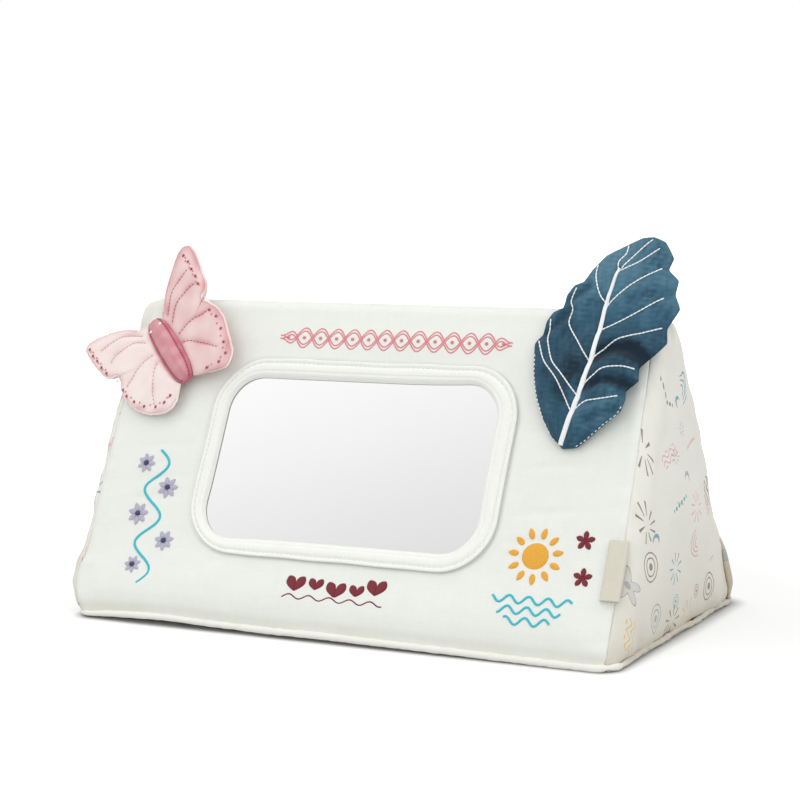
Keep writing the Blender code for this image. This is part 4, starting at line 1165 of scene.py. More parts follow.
# %% Embroideries
def daisies():
    spots = np.array(((-0.1285, 0.090), (-0.1115, 0.077), (-0.1265, 0.061), (-0.1060, 0.047), (-0.1215, 0.032)))
    petals, knots = [], []
    for index, spot in enumerate(spots):
        size = (0.0058, 0.0064, 0.0066, 0.0060, 0.0052)[index]
        for step in range(7):
            angle = 2 * math.pi * step / 7 + index
            petals.append(petal(around(spot, size * 0.22, angle), around(spot, size, angle), size * 0.52))
        knots.append(spot)
    satin_bands("embroidered_daisies", petals, lilac_thread, seat_on_front, "wedge", slot="cover_cotton")
    height = np.linspace(0.098, 0.022, 40)
    swing = 0.0065 * np.sin((height - 0.022) / 0.0304 * 2 * np.pi)
    wave = np.stack((-0.1185 + (0.06 - height) * 0.06 + swing, height), axis=1)
    lines = [(wave, np.full(40, 0.0008))]
    satin_bands("embroidered_wave", lines, turquoise_thread, seat_on_front, "wedge", slot="cover_cotton")
    return np.array(knots)


def hearts_and_sun():
    hearts = []
    for index, across in enumerate((-0.0185, -0.0065, 0.0055, 0.0175, 0.0285)):
        low = 0.0255 + 0.0018 * math.sin(index * 2.1)
        size = 0.0098 if index % 2 == 0 else 0.0074
        for lean in (0.5, -0.5):
            tip = around((across, low), size, math.pi / 2 + lean)
            hearts.append(petal((across, low), tip, size * 0.62, blunt=1.5))
    wave_x = np.linspace(-0.025, 0.034, 50)
    thread_line = np.stack((wave_x, 0.0228 + 0.0012 * np.sin(wave_x / 0.0119 * 2 * np.pi)), axis=1)
    hearts.append((thread_line, np.full(50, 0.0005)))
    sun, rays = np.array((0.1125, 0.0555)), []
    for step in range(11):
        angle = 2 * math.pi * step / 11 + 0.2
        rays.append(petal(around(sun, 0.0092, angle), around(sun, 0.0152, angle), 0.0034))
    share = np.linspace(-1, 1, 26)
    disc = (np.stack((sun[0] + share * 0.0072, sun[1] + 0 * share), axis=1), 0.0072 * np.sqrt(1.0004 - share**2))
    satin_bands("embroidered_sun", [disc, *rays], golden_thread, seat_on_front, "wedge", slot="cover_cotton")
    water = []
    for index in range(3):
        wave_x = np.linspace(0.094 + 0.004 * index, 0.137 - 0.005 * index, 70)
        wave_y = 0.0325 - 0.0055 * index + 0.0019 * np.sin((wave_x - 0.09) / 0.0105 * 2 * np.pi)
        water.append((np.stack((wave_x, wave_y), axis=1), np.full(70, 0.0007)))
    satin_bands("embroidered_water", water, turquoise_thread, seat_on_front, "wedge", slot="cover_cotton")
    for middle in ((0.1375, 0.0655), (0.1395, 0.0465)):
        for step in range(5):
            angle = 2 * math.pi * step / 5 + math.pi / 2
            hearts.append(petal(middle, around(middle, 0.0052, angle), 0.0030, blunt=1.3))
    satin_bands("embroidered_hearts", hearts, maroon_thread, seat_on_front, "wedge", slot="cover_cotton")


BRAID_LEFT, BRAID_RIGHT, BRAID_RISE, BRAID_PITCH, BRAID_BEADS = -0.062, 0.078, 0.1675, 0.020, 14


def braid():
    wave_x = np.linspace(BRAID_LEFT, BRAID_RIGHT, 260)
    swell = soft_step((wave_x - BRAID_LEFT) / 0.012) * soft_step((BRAID_RIGHT - wave_x) / 0.012)
    turn = (wave_x - BRAID_LEFT) / BRAID_PITCH * 2 * np.pi
    strands = []
    for phase in (0, np.pi):
        height = BRAID_RISE + 0.0048 * np.sin(turn + phase) * swell
        for gap in (-0.0009, 0.0009):
            strands.append((np.stack((wave_x, height + gap), axis=1), np.full(260, 0.00042)))
    satin_bands(
        "embroidered_braid", strands, rose_thread, seat_on_front, "wedge", crown=0.0004, slot="cover_cotton"
    )


def knots(name, flat, material, radius, seat, body, outs, slot=None):
    """French knots: short fat stitches standing on the cloth."""
    middles = seat(flat, np.full(len(flat), radius * 0.4))
    ways = np.broadcast_to(np.array((1.0, 0.3, 0.2)), middles.shape)
    return stitches(name, middles, ways, outs, radius, radius, material, body, slot=slot)


daisy_middles = daisies()
hearts_and_sun()
braid()
slope_outs = np.broadcast_to(SLOPE_OUT, (len(daisy_middles), 3))
knots("daisy_knots", daisy_middles, navy_thread, 0.0014, seat_on_front, "wedge", slope_outs, slot="cover_cotton")
bead_x = BRAID_LEFT + BRAID_PITCH * (np.arange(BRAID_BEADS) * 0.5 + 0.25)
braid_beads = np.stack((bead_x, np.full(BRAID_BEADS, BRAID_RISE)), axis=1)
slope_outs = np.broadcast_to(SLOPE_OUT, (BRAID_BEADS, 3))
knots("braid_knots", braid_beads, rose_thread, 0.0009, seat_on_front, "wedge", slope_outs, slot="cover_cotton")

# %% [markdown]
# The butterfly leans over the wedge's upper left. Its frame lies on the slope, turned about the
# slope's own out direction, with Y along the body. The body is a long stuffed bar with a flat rim,
# pressed in by a row of stitches just inside each edge.

# %% Butterfly body
BODY_LENGTH, BODY_WIDTH, BODY_THICKNESS, BODY_SLIDE = 0.046, 0.014, 0.011, 0.0013
BODY_LIFT = GAP + FRONT_CROWN + SEAM_GAP / 2 + BODY_THICKNESS / 2
GROOVE = 0.72
butterfly = on_slope(-0.1256, 0.1534, BODY_LIFT) @ spin(42.5, "Z")
body_seat = butterfly @ shift(0, BODY_SLIDE, 0)


def body_form(length_angle, round_angle):
    """Width and thickness fall off with cos^0.6 near the ends; a groove runs inside both edges."""
    fall = np.maximum(np.cos(length_angle), 0) ** 0.6
    across = (BODY_WIDTH / 2 + 0.0005) * fall * np.cos(round_angle)
    high = BODY_THICKNESS / 2 * fall * np.sign(np.sin(round_angle)) * np.abs(np.sin(round_angle)) ** 0.85
    reach = BODY_LENGTH / 2 * np.sign(length_angle) * np.abs(np.sin(length_angle)) ** 0.75
    inside = np.abs(across) / np.maximum((BODY_WIDTH / 2 + 0.0005) * fall, 1e-6)
    groove = 0.0010 * np.exp(-(((inside - GROOVE) / 0.09) ** 2)) * fall
    folds = 0.0004 * ripple(across * 3, reach, 71, 0.014) * fall
    high = high - np.sign(high) * groove + folds * (np.abs(np.sin(round_angle)) > 0.2)
    return np.stack(np.broadcast_arrays(across, reach, high), axis=-1)


length_angle = np.linspace(-np.pi / 2, np.pi / 2, 80)[:, None]
round_angle = np.linspace(0, 2 * np.pi, 72, endpoint=False)[None]
body_points = body_form(length_angle, round_angle)
body_rim = np.abs(np.cos(round_angle)) + 0 * length_angle
# Painted shade in the two stitched grooves; the rim beyond them and the ends are darker too, and the tone is blotchy.
body_tint = 0.55 * soft_step((body_rim - GROOVE) / 0.12) + 0.5 * np.exp(-(((body_rim - GROOVE) / 0.10) ** 2))
body_blotch = ripple(body_points[..., 0], body_points[..., 1], 72, 0.008)
body_tint = body_tint + 0.35 * soft_step(np.abs(length_angle) - 0.85) + 0.25 * body_blotch
butterfly_body = surface(
    "butterfly_body", moved(body_seat, body_points)[:, ::-1], rose_cotton, "wedge", closed=(False, True),
    tint=body_tint[:, ::-1], stands_for=["butterfly_body_front", "butterfly_body_back"], slot="rose_cotton",
)


def make_body_stitches():
    lines = []
    for angle in (np.arccos(GROOVE), np.pi - np.arccos(GROOVE)):
        run = body_form(np.linspace(-1.36, 1.36, 70), np.full(70, angle)) + (0, 0, 0.00016)
        lines.append(along_line(run, 0.0021))
    middles = moved(body_seat, np.vstack([line[0] for line in lines]))
    ways = np.vstack([line[1] for line in lines]) @ butterfly[:3, :3].T
    outs = np.broadcast_to(butterfly[:3, 2], middles.shape)
    stitches("body_stitches", middles, ways, outs, 0.00084, 0.00044, dark_rose_thread, "wedge", slot="rose_cotton")
    eyes = moved(body_seat, body_form(np.array((0.70, 0.62)), np.array((1.02, 2.12))) + (0, 0, 0.0001))
    outs = np.broadcast_to(butterfly[:3, 2], eyes.shape)
    ways = np.broadcast_to(butterfly[:3, 0], eyes.shape)
    stitches("body_knots", eyes, ways, outs, 0.0009, 0.0008, white_thread, "wedge", slot="rose_cotton")


make_body_stitches()

# %% [markdown]
# A wing is a small pillow. Each wing's edge is a smooth curve through shares of its reach
# and span, because hand-cut wings never match, with a fine crinkle from the turned seam. Across the
# wing the surface swells as an ellipse does, so it turns down steeply at the rim, and it is pressed
# in along the sewn veins. Front and back are two sheets that meet in the rim's seam.

# %% Wings
WING_ROOT, WING_SIZE = 0.043, np.array((0.0385, 0.047))
WING_HINGE = BODY_WIDTH / 2 + GAP + SEAM_GAP
WING_EDGES = {
    "left_wing": (
        (0.05, 0.55), (0.17, 0.66), (0.32, 0.755), (0.48, 0.83), (0.66, 0.895), (0.84, 0.94), (0.95, 0.925),
        (0.985, 0.86), (0.985, 0.74), (0.97, 0.63), (0.94, 0.50), (0.90, 0.38), (0.81, 0.30), (0.71, 0.255),
        (0.725, 0.18), (0.78, 0.08), (0.79, -0.05), (0.765, -0.17), (0.71, -0.30), (0.64, -0.40), (0.55, -0.49),
        (0.38, -0.60), (0.20, -0.64), (0.06, -0.60),
    ),
    "right_wing": (
        (0.05, 0.54), (0.23, 0.69), (0.37, 0.775), (0.51, 0.85), (0.67, 0.93), (0.82, 0.985), (0.91, 0.995),
        (0.99, 0.955), (1.03, 0.87), (1.00, 0.72), (0.965, 0.62), (0.93, 0.52), (0.895, 0.42), (0.86, 0.33),
        (0.77, 0.265), (0.675, 0.245), (0.675, 0.20), (0.72, 0.10), (0.755, 0.0), (0.76, -0.10), (0.74, -0.23),
        (0.67, -0.38), (0.59, -0.54), (0.53, -0.64), (0.44, -0.70), (0.34, -0.73), (0.23, -0.70), (0.08, -0.60),
    ),
}
WING_VEINS = [smooth_line(np.array(line) / 1000, 40) for line in (
    ((1.7, 20.2), (2.5, 21), (7, 25.5), (12, 29.5), (18, 31.5), (23, 32.5), (28.5, 33)),
    ((1.6, 14.6), (2, 15), (7, 20), (11.5, 22), (17.5, 22.8), (23, 23.3), (27, 22)),
    ((1.5, 5.4), (8, 6.1), (14.4, 5.4), (20, 3.2), (25.5, 1.7)),
    ((1.4, -0.8), (5.5, -3.4), (9.5, -8.8), (13.3, -14.8), (16, -20.5)),
)]
WING_KNOTS = {
    "left_wing": (
        (34.4, 39.7), (34.4, 34.6), (33.5, 29.7), (33.4, 24.5), (32.3, 19.1), (28.2, 2.2), (28.0, -2.8),
        (25.4, -9.6), (21.4, -16.7), (15.5, -22.1), (9.3, -24.4), (4.3, -23.5),
    ),
    "right_wing": (
        (32.2, 41.1), (31.8, 35.9), (30.7, 30.6), (30.2, 24.9), (28.8, 19.7), (24.8, 0.8), (25.7, -5.7),
        (23.5, -13.9), (20.1, -21.7), (17.2, -27.8), (11.6, -28.6), (4.9, -25.3),
    ),
}
# Side, tilt, sweep, and painted shade on the wing's whole tone: above 0 darker, below 0 paler, for how the light falls
# on each wing
WINGS = {"left_wing": (-1, -8.0, 0.0, -0.14), "right_wing": (1, 7.0, 7.0, 0.42)}


def swept(flat, sweep_deg, share=1.0):
    """Turns places forwards in the wing's own plane."""
    turn = np.radians(sweep_deg) * share
    return np.stack((
        flat[..., 0] * np.cos(turn) - flat[..., 1] * np.sin(turn),
        flat[..., 1] * np.cos(turn) + flat[..., 0] * np.sin(turn),
    ), axis=-1)


def wing_grid(sweep_deg, edge):
    """Flat places: rows from the root, which follows the body's side, to the edge; columns from fore to hind."""
    along = WING_ROOT * (0.5 - np.linspace(0, 1, len(edge)))
    body_angle = np.arcsin((np.abs(along) / (BODY_LENGTH / 2)) ** (1 / 0.75))
    root = np.stack(((BODY_WIDTH / 2 + 0.0005) * np.cos(body_angle) ** 0.6 - WING_HINGE - 0.0004, along), axis=1)
    share = np.sin(np.linspace(0, np.pi / 2, 36))[:, None, None]
    flat = root + (edge - root) * share
    return flat, swept(flat, sweep_deg, share[..., 0]), share[..., 0]


def wing_height(pattern, share, seed):
    """Front height: elliptic swell to the rim, pressed in along the veins and the hem."""
    rim = np.linspace(-1, 1, pattern.shape[1])[None]
    ends = (1 - np.abs(rim) ** 6) ** 0.5
    swell = np.sqrt(np.maximum(1 - share**4, 0)) * np.minimum(share / 0.10 + 0.25, 1) * ends
    height = 0.0024 * swell
    for vein in WING_VEINS:
        height = height - 0.0007 * np.exp(-((line_distance(pattern, vein) / 0.0013) ** 2)) * swell
    return height + 0.0004 * ripple(pattern[..., 0], pattern[..., 1], seed, 0.018) * swell


def wing_tint(pattern, edge, seed):
    """Painted shade beside the pressed-in veins; also darker along the hem, paler on the rim outside it, and blotchy in
    between.
    """
    from_edge = line_distance(pattern, edge)
    near_vein = np.min([line_distance(pattern, vein) for vein in WING_VEINS], axis=0)
    blotch = ripple(pattern[..., 0], pattern[..., 1], seed + 4, 0.012)
    # The first term is painted shade beside the veins, where they are sewn into dips.
    tint = 0.32 * np.exp(-((near_vein / 0.0013) ** 2)) + 0.30 * np.exp(-(((from_edge - 0.0022) / 0.0016) ** 2))
    return tint * (0.8 + 0.5 * blotch) + 0.16 * blotch - 0.5 * np.exp(-((from_edge / 0.0006) ** 2))


def make_wing(name, side, tilt, sweep_deg, painted_shade):
    hinge = butterfly @ shift(WING_HINGE * side, 0, 0) @ spin(-side * tilt, "Y")
    edge = smooth_line(np.array(WING_EDGES[name]) * WING_SIZE, 150)
    aside = np.stack((np.gradient(edge[:, 1]), -np.gradient(edge[:, 0])), axis=1)
    inward = aside / np.linalg.norm(aside, axis=1, keepdims=True)
    run = run_length(edge, False)
    edge = edge + inward * (0.00022 * ripple(run, run * 0, 86 + side, 0.0034))[:, None]
    pattern, flat, share = wing_grid(sweep_deg, edge)
    top = wing_height(pattern, share, 81 + side)
    # Each wing's tone is shifted as a whole by painted shade: darker on the right wing and paler on the left, for how
    # the light falls on them.
    tint = wing_tint(pattern, edge, 81 + side) + painted_shade
    for layer, height in (("front", top + 0.0001), ("back", -top * 0.6 - 0.0001)):
        points = moved(hinge, np.stack((flat[..., 0] * side, flat[..., 1], height), axis=-1))
        flip = slice(None, None, -1 if (side > 0) != (layer == "front") else 1)
        piece = surface(
            f"{name}_{layer}_cover", points[:, flip], pink_cotton, name, tint=tint[:, flip],
            stands_for=[f"{name}_{layer}"], slot="pink_cotton",
        )

    def on_wing(places, lift):
        """Places of the pattern on the wing's front, at the height of the nearest grid points."""
        near, weight = nearest_four(places, pattern)
        weight = weight / weight.sum(1, keepdims=True)
        found = (top.ravel()[near] * weight).sum(1).reshape(places.shape[:-1])
        shares = (np.broadcast_to(share, top.shape).ravel()[near] * weight).sum(1).reshape(places.shape[:-1])
        turned = swept(places, sweep_deg, shares)
        return moved(hinge, np.stack((turned[..., 0] * side, turned[..., 1], found + 0.0001 + lift), axis=-1))

    def sew(piece_name, rows, half_length, radius, material):
        sew_rows(f"{name}_{piece_name}", rows, hinge[:3, 2], half_length, radius, material, name, "pink_cotton")

    vein_thread, hem_thread = (rose_thread, blush_thread) if side < 0 else (deep_rose_thread, rose_thread)
    vein_rows = [along_line(on_wing(vein, np.full(40, 0.0001)), 0.0021) for vein in WING_VEINS]
    sew("veins", vein_rows, 0.00068, 0.00026, vein_thread)
    hem = on_wing(edge + inward * 0.0013, np.full(150, 0.00005))
    sew("hem", [along_line(hem, 0.0015)], 0.00058, 0.00022, hem_thread)
    large = np.array(WING_KNOTS[name]) / 1000
    small = np.vstack(((large[1:] + large[:-1]) / 2, large + (0.0012, -0.0009))) * (0.965, 0.975)
    for piece_name, places, size, material in (
        ("knots", large, 0.00085, deep_rose_thread), ("small_knots", small, 0.00055, rose_thread)
    ):
        middles = on_wing(places, np.full(len(places), 0.0002))
        ways = np.broadcast_to(hinge[:3, 0] + 0.4 * hinge[:3, 1], middles.shape)
        sew(piece_name, [(middles, ways)], size, size * 0.85, material)


for wing_name, wing_facts in WINGS.items():
    make_wing(wing_name, *wing_facts)

# %% [markdown]
# The leaf hangs at the right from a tape sewn into the ridge. Its two edges are smooth curves
# through shares of its half width and length, lobed as the real one is. Between them each row runs
# from the left edge over the rib to the right edge. The pillow swells between the veins, which are
# sewn through, and deep folds gather at the lower right, where the stitches pull the cloth together.

# %% Leaf form
LEAF_LENGTH, LEAF_HALF, LEAF_LEAN = 0.1195, 0.0385, math.radians(8.6)
LEAF_BASE_IN, LEAF_BASE_DROP, LEAF_LIFT, LEAF_BOW_SHARE = 0.0214, 0.0794, 0.0045, 0.55
LEAF_BACK_PUFF, FABRIC, TAB_THICKNESS = 0.0008, 0.0006, 0.001
LEAF_HINGE = np.array((LENGTH / 2 - 0.027, 0, RIDGE_HEIGHT + GAP + TAB_THICKNESS / 2))
LEAF_BASE, LEAF_TIP = (0.03, 0.0), (0.33, 1.0)
LEAF_LEFT_SHARES = (
    (-0.17, 0.038), (-0.37, 0.105), (-0.57, 0.195), (-0.73, 0.305), (-0.845, 0.425), (-0.78, 0.475),
    (-0.79, 0.54), (-0.74, 0.585), (-0.62, 0.61), (-0.63, 0.67), (-0.575, 0.72), (-0.455, 0.745),
    (-0.39, 0.805), (-0.26, 0.88), (-0.03, 0.94), (0.16, 0.985),
)
LEAF_RIGHT_SHARES = (
    (0.23, 0.02), (0.44, 0.10), (0.69, 0.20), (0.71, 0.255), (0.685, 0.29), (0.80, 0.345),
    (0.75, 0.405), (0.88, 0.475), (0.975, 0.54), (0.915, 0.605), (1.00, 0.70), (0.875, 0.76),
    (0.855, 0.825), (0.675, 0.865), (0.69, 0.92), (0.51, 0.985),
)
RIB_SHARES = (
    (-0.01, 0.01), (0.03, 0.15), (0.055, 0.24), (0.06, 0.32), (0.055, 0.40), (0.04, 0.48), (0.02, 0.56),
    (-0.01, 0.66), (-0.01, 0.76), (0.0, 0.83),
)
VEIN_SHARES = (
    ((-0.01, 0.82), (-0.03, 0.86), (0.03, 0.90), (0.02, 0.94)),
    ((-0.01, 0.66), (-0.15, 0.70), (-0.29, 0.78), (-0.32, 0.83)),
    ((0.04, 0.39), (-0.22, 0.47), (-0.43, 0.54), (-0.45, 0.61), (-0.53, 0.65), (-0.51, 0.71)),
    ((0.08, 0.22), (-0.28, 0.31), (-0.51, 0.37), (-0.66, 0.46), (-0.73, 0.55)),
    ((0.04, 0.15), (-0.32, 0.28), (-0.62, 0.36), (-0.78, 0.44)),
    ((0.03, 0.83), (0.16, 0.90), (0.25, 0.95), (0.33, 0.985)),
    ((0.03, 0.82), (0.24, 0.87), (0.47, 0.95)),
    ((0.01, 0.65), (0.16, 0.73), (0.32, 0.79), (0.60, 0.86)),
    ((0.01, 0.53), (0.21, 0.58), (0.47, 0.65), (0.76, 0.73)),
    ((0.05, 0.38), (0.12, 0.43), (0.29, 0.50), (0.51, 0.54), (0.86, 0.60)),
    ((0.07, 0.28), (0.18, 0.33), (0.31, 0.37), (0.51, 0.39), (0.72, 0.39)),
    ((0.06, 0.17), (0.18, 0.21), (0.34, 0.23), (0.62, 0.26)),
)
# Places, depth and width of each fold
FOLDS = (
    (((0.12, 0.42), (0.30, 0.465), (0.50, 0.475), (0.70, 0.455), (0.84, 0.43)), 0.0025, 0.0036),
    (((0.10, 0.27), (0.30, 0.315), (0.50, 0.325), (0.74, 0.31)), 0.0022, 0.0032),
    (((0.28, 0.14), (0.46, 0.18), (0.62, 0.20)), 0.0014, 0.0028),
    (((-0.74, 0.48), (-0.60, 0.54), (-0.50, 0.60)), 0.0013, 0.0028),
    (((-0.56, 0.64), (-0.44, 0.68), (-0.34, 0.72)), 0.0013, 0.0026),
    (((-0.16, 0.20), (-0.34, 0.25), (-0.52, 0.30)), 0.0010, 0.0030),
    (((0.30, 0.70), (0.55, 0.74), (0.80, 0.76)), 0.0009, 0.0030),
)
# Patches of painted shade and painted light: middle, half sizes and how much darker the cloth is painted there (below
# 0, paler)
LEAF_PAINTED_SHADE_AND_LIGHT = (
    (0.45, 0.43, 0.50, 0.10, 0.60), (0.66, 0.50, 0.26, 0.06, 0.50), (-0.10, 0.34, 0.22, 0.08, 0.85),
    (0.50, 0.185, 0.28, 0.055, -0.62), (0.18, 0.12, 0.20, 0.08, -0.22),
    (-0.10, 0.84, 0.30, 0.16, -0.30), (0.50, 0.91, 0.18, 0.07, 0.45), (-0.35, 0.47, 0.40, 0.16, 0.10),
)
leaf_frame = on_slope(0, 0)
leaf_frame[:3, 3] = LEAF_HINGE
leaf_size = np.array((LEAF_HALF, LEAF_LENGTH))
face_over_hinge = (PEAK - RIDGE_HEIGHT - GAP - TAB_THICKNESS / 2) * math.cos(SLOPE)
LEAF_STAND = face_over_hinge + GAP * 2 + TAB_THICKNESS + SEAM_GAP / 2 + LEAF_BACK_PUFF + FABRIC
leaf_veins = [smooth_line(np.array(vein) * leaf_size, 40) for vein in VEIN_SHARES]
leaf_rib = smooth_line(np.array(RIB_SHARES) * leaf_size, 60)


def leaf_places(rows=170, columns=71):
    """Flat places, rows from base to tip and columns from the left edge (-1) to the right edge (1)."""
    left, right = (
        smooth_line(np.array((LEAF_BASE, *shares, LEAF_TIP)) * leaf_size, rows, tight=0.7)
        for shares in (LEAF_LEFT_SHARES, LEAF_RIGHT_SHARES)
    )
    share = np.sin(np.linspace(-np.pi / 2, np.pi / 2, columns))
    along = (left[:, 1] + right[:, 1]) / 2
    tip_turn = soft_step((along / LEAF_LENGTH - 0.8) / 0.2)
    rib = np.stack((LEAF_HALF * LEAF_TIP[0] * tip_turn, along), axis=1)
    rib[0], rib[-1] = left[0], left[-1]
    edge = np.where((share < 0)[None, :, None], left[:, None], right[:, None])
    return rib[:, None] + (edge - rib[:, None]) * np.abs(share)[None, :, None], share


def leaf_point(flat, share, height):
    """A flat place leaned over, bowed off the panel below the tape and lifted to its height."""
    across = flat[..., 0] * math.cos(LEAF_LEAN) + flat[..., 1] * math.sin(LEAF_LEAN)
    up = flat[..., 1] * math.cos(LEAF_LEAN) - flat[..., 0] * math.sin(LEAF_LEAN)
    below = np.minimum(flat[..., 1] / LEAF_LENGTH / LEAF_BOW_SHARE, 1)
    bow = LEAF_LIFT * np.sin(np.pi * below) * (0.6 + 0.4 * share)
    local = np.stack((across - LEAF_BASE_IN, up - LEAF_BASE_DROP, LEAF_STAND + bow + height), axis=-1)
    return moved(leaf_frame, local)


def leaf_front_height(flat, share):
    """Height: a swell to the rim, less the sewn veins, the rib and the folds; the swell; and a tone with painted shade
    and light.
    """
    rows = np.linspace(0, 1, flat.shape[0])[:, None]
    swell = np.sqrt(np.maximum(1 - share[None] ** 4, 0)) * np.sin(np.pi * rows) ** 0.4
    # pressed collects painted shade: darker along the sewn veins and the rib and in the fold valleys, and lighter, a
    # painted highlight, on the ridges beside each fold.
    height, pressed = 0.0032 * swell, 0 * swell
    for vein in (*leaf_veins, leaf_rib):
        near = np.exp(-((line_distance(flat, vein) / 0.0016) ** 2))
        height, pressed = height - 0.0008 * near * swell, pressed + 0.16 * near
    spared = soft_step(line_distance(flat, leaf_rib) / 0.007)
    for fold, depth, width in FOLDS:
        away = line_distance(flat, smooth_line(np.array(fold) * leaf_size, 24)) / width
        valley = np.exp(-(away**2))
        height = height - depth * (valley - 0.55 * np.exp(-((away - 1.7) ** 2))) * swell**0.5 * spared
        pressed = pressed + depth / 0.0025 * (0.8 * valley - 0.3 * np.exp(-((away - 1.8) ** 2)))
    height = height + (0.0005 * ripple(flat[..., 0], flat[..., 1], 91, 0.02)) * swell
    x, y = flat[..., 0], flat[..., 1]
    # The tone: that painted shade, random mottling, the patches of painted shade and light, and paler towards the tip.
    tint = pressed
    for amount, seed, wavelength in ((0.12, 92, 0.014), (0.14, 93, 0.005), (0.16, 94, 0.003)):
        tint = tint + amount * ripple(x, y, seed, wavelength)
    tint = tint + 0.18
    for middle_x, middle_y, half_x, half_y, painted_shade in LEAF_PAINTED_SHADE_AND_LIGHT:
        aside, above = (x / LEAF_HALF - middle_x) / half_x, (y / LEAF_LENGTH - middle_y) / half_y
        tint = tint + painted_shade * np.exp(-(aside**2) - above**2)
    return height, swell, tint - 0.80 * soft_step((y / LEAF_LENGTH - 0.45) / 0.5)


leaf_flat, leaf_share = leaf_places()
leaf_top, leaf_swell, leaf_tint = leaf_front_height(leaf_flat, leaf_share)
for layer, height in (("front", leaf_top + 0.0002), ("back", -0.0011 * leaf_swell - 0.0002)):
    flip = slice(None, None, -1 if layer == "back" else 1)
    leaf_piece = surface(
        f"leaf_{layer}_cover", leaf_point(leaf_flat, leaf_share[None], height)[:, flip], petrol_cotton, "leaf",
        tint=leaf_tint[:, flip] * (1.0 if layer == "front" else 0.3), stands_for=[f"leaf_{layer}"],
        slot="petrol_cotton",
    )

# %% [markdown]
# Between the leaf's two covers lie its filling and a crackling film. The filling is a closed lens
# that keeps 0.7 mm under the front cover, so it thins out where the folds press in.

# %% Leaf filling
def make_leaf_inside():
    inner_share = np.linspace(-0.86, 0.86, 31)[None]
    rows = slice(10, -10, 3)
    columns = np.abs(leaf_share[None] - inner_share.T).argmin(1)
    places, share = leaf_flat[rows][:, columns], leaf_share[columns][None]
    top = np.maximum(leaf_top[rows][:, columns] - 0.0007, -0.0001)
    low = np.full_like(top, -0.0002)
    edge = np.ones_like(top, bool)
    edge[1:-1, 1:-1] = False
    top = np.where(edge, low, top)
    lens = np.concatenate((leaf_point(places, share, top), leaf_point(places, share, low)[::-1]))
    inside = surface(
        "leaf_filling", lens, filling, "leaf", closed=(True, False), stands_for=["leaf_wadding"], slot="filling",
    )
    film = surface(
        "leaf_film", leaf_point(places, share, low - 0.0002), crackle, "leaf",
        stands_for=["leaf_crinkle_film"], slot="crinkle_film",
    )


make_leaf_inside()

# %% [markdown]
# The rib is a wide bar of satin stitch that narrows towards the tip, and the side veins are single
# lines of short white stitches that nearly touch. Both lie on the leaf's swollen face, so their
# places look up the height of the nearest points of the leaf's own grid.

# %% Leaf threads
def on_leaf(places, lift):
    near, weight = nearest_four(places, leaf_flat)
    found = (leaf_top.ravel()[near] * weight).sum(1) / weight.sum(1)
    columns = (leaf_share[near % len(leaf_share)] * weight).sum(1) / weight.sum(1)
    shape = places.shape[:-1]
    return leaf_point(places, columns.reshape(shape), found.reshape(shape) + 0.0002 + lift)


def make_leaf_threads():
    rib_half = np.interp(np.linspace(0, 1, 60), (0, 0.1, 0.7, 1), (0.0015, 0.0015, 0.0012, 0.0008))
    satin_bands("leaf_rib", [(leaf_rib, rib_half)], white_thread, on_leaf, "leaf", crown=0.0009, slot="petrol_cotton")
    rows = [along_line(on_leaf(vein, np.full(len(vein), 0.0002)), 0.0021) for vein in leaf_veins]
    sew_rows("leaf_veins", rows, SLOPE_OUT, 0.00115, 0.00042, white_thread, "leaf", "petrol_cotton")
    edges = (leaf_flat[4:70, 5], leaf_flat[8:46, -2])
    rows = [along_line(on_leaf(smooth_line(edge[::6], 50), np.full(50, 0.0002)), 0.0024) for edge in edges]
    sew_rows("leaf_hem", rows, SLOPE_OUT, 0.0007, 0.00025, white_thread, "leaf", "petrol_cotton")


make_leaf_threads()

# %% [markdown]
# The tape that carries the leaf wraps the ridge's front shoulder and runs down behind the leaf. The
# ribbon label is folded in two, with both ends in the side seam. Both are a profile carried along a
# straight width, given their cloth's thickness by a Solidify modifier.

# %% Tape and label
def cloth_strip(name, profile, width, seat, material, body, cloth, node, slot):
    """A strip: a profile of (along, up) points carried across a width, with a cloth's thickness."""
    across = np.linspace(-width / 2, width / 2, 40)
    along, up = profile[:, None, 0], profile[:, None, 1]
    wavy = 0.00025 * ripple(along + 0 * across, across + up, 95, 0.02)
    local = np.stack(np.broadcast_arrays(across[None], along, up + wavy), axis=-1)
    strip = surface(name, moved(seat, local), material, body, thickness=cloth, stands_for=[node], slot=slot)
    return strip


def make_tape():
    radius = RIDGE_RADIUS + GAP + TAB_THICKNESS / 2
    centre = RIDGE_HEIGHT - RIDGE_RADIUS - LEAF_HINGE[2]
    middle = np.array((centre * math.sin(SLOPE), centre * math.cos(SLOPE)))
    turn = np.linspace(SLOPE, 0, 24)
    wrap = middle + radius * np.stack((np.sin(turn), np.cos(turn)), axis=1)
    tail = np.linspace(wrap[-1], middle + (-0.006, radius), 12)[1:]
    profile = np.vstack((wrap, tail))[::-1] + (0, TAB_THICKNESS / 2)
    cloth_strip(
        "leaf_tape", profile, 0.020, leaf_frame, petrol_cotton, "leaf", TAB_THICKNESS * 0.9, "leaf_tab", "petrol_cotton"
    )


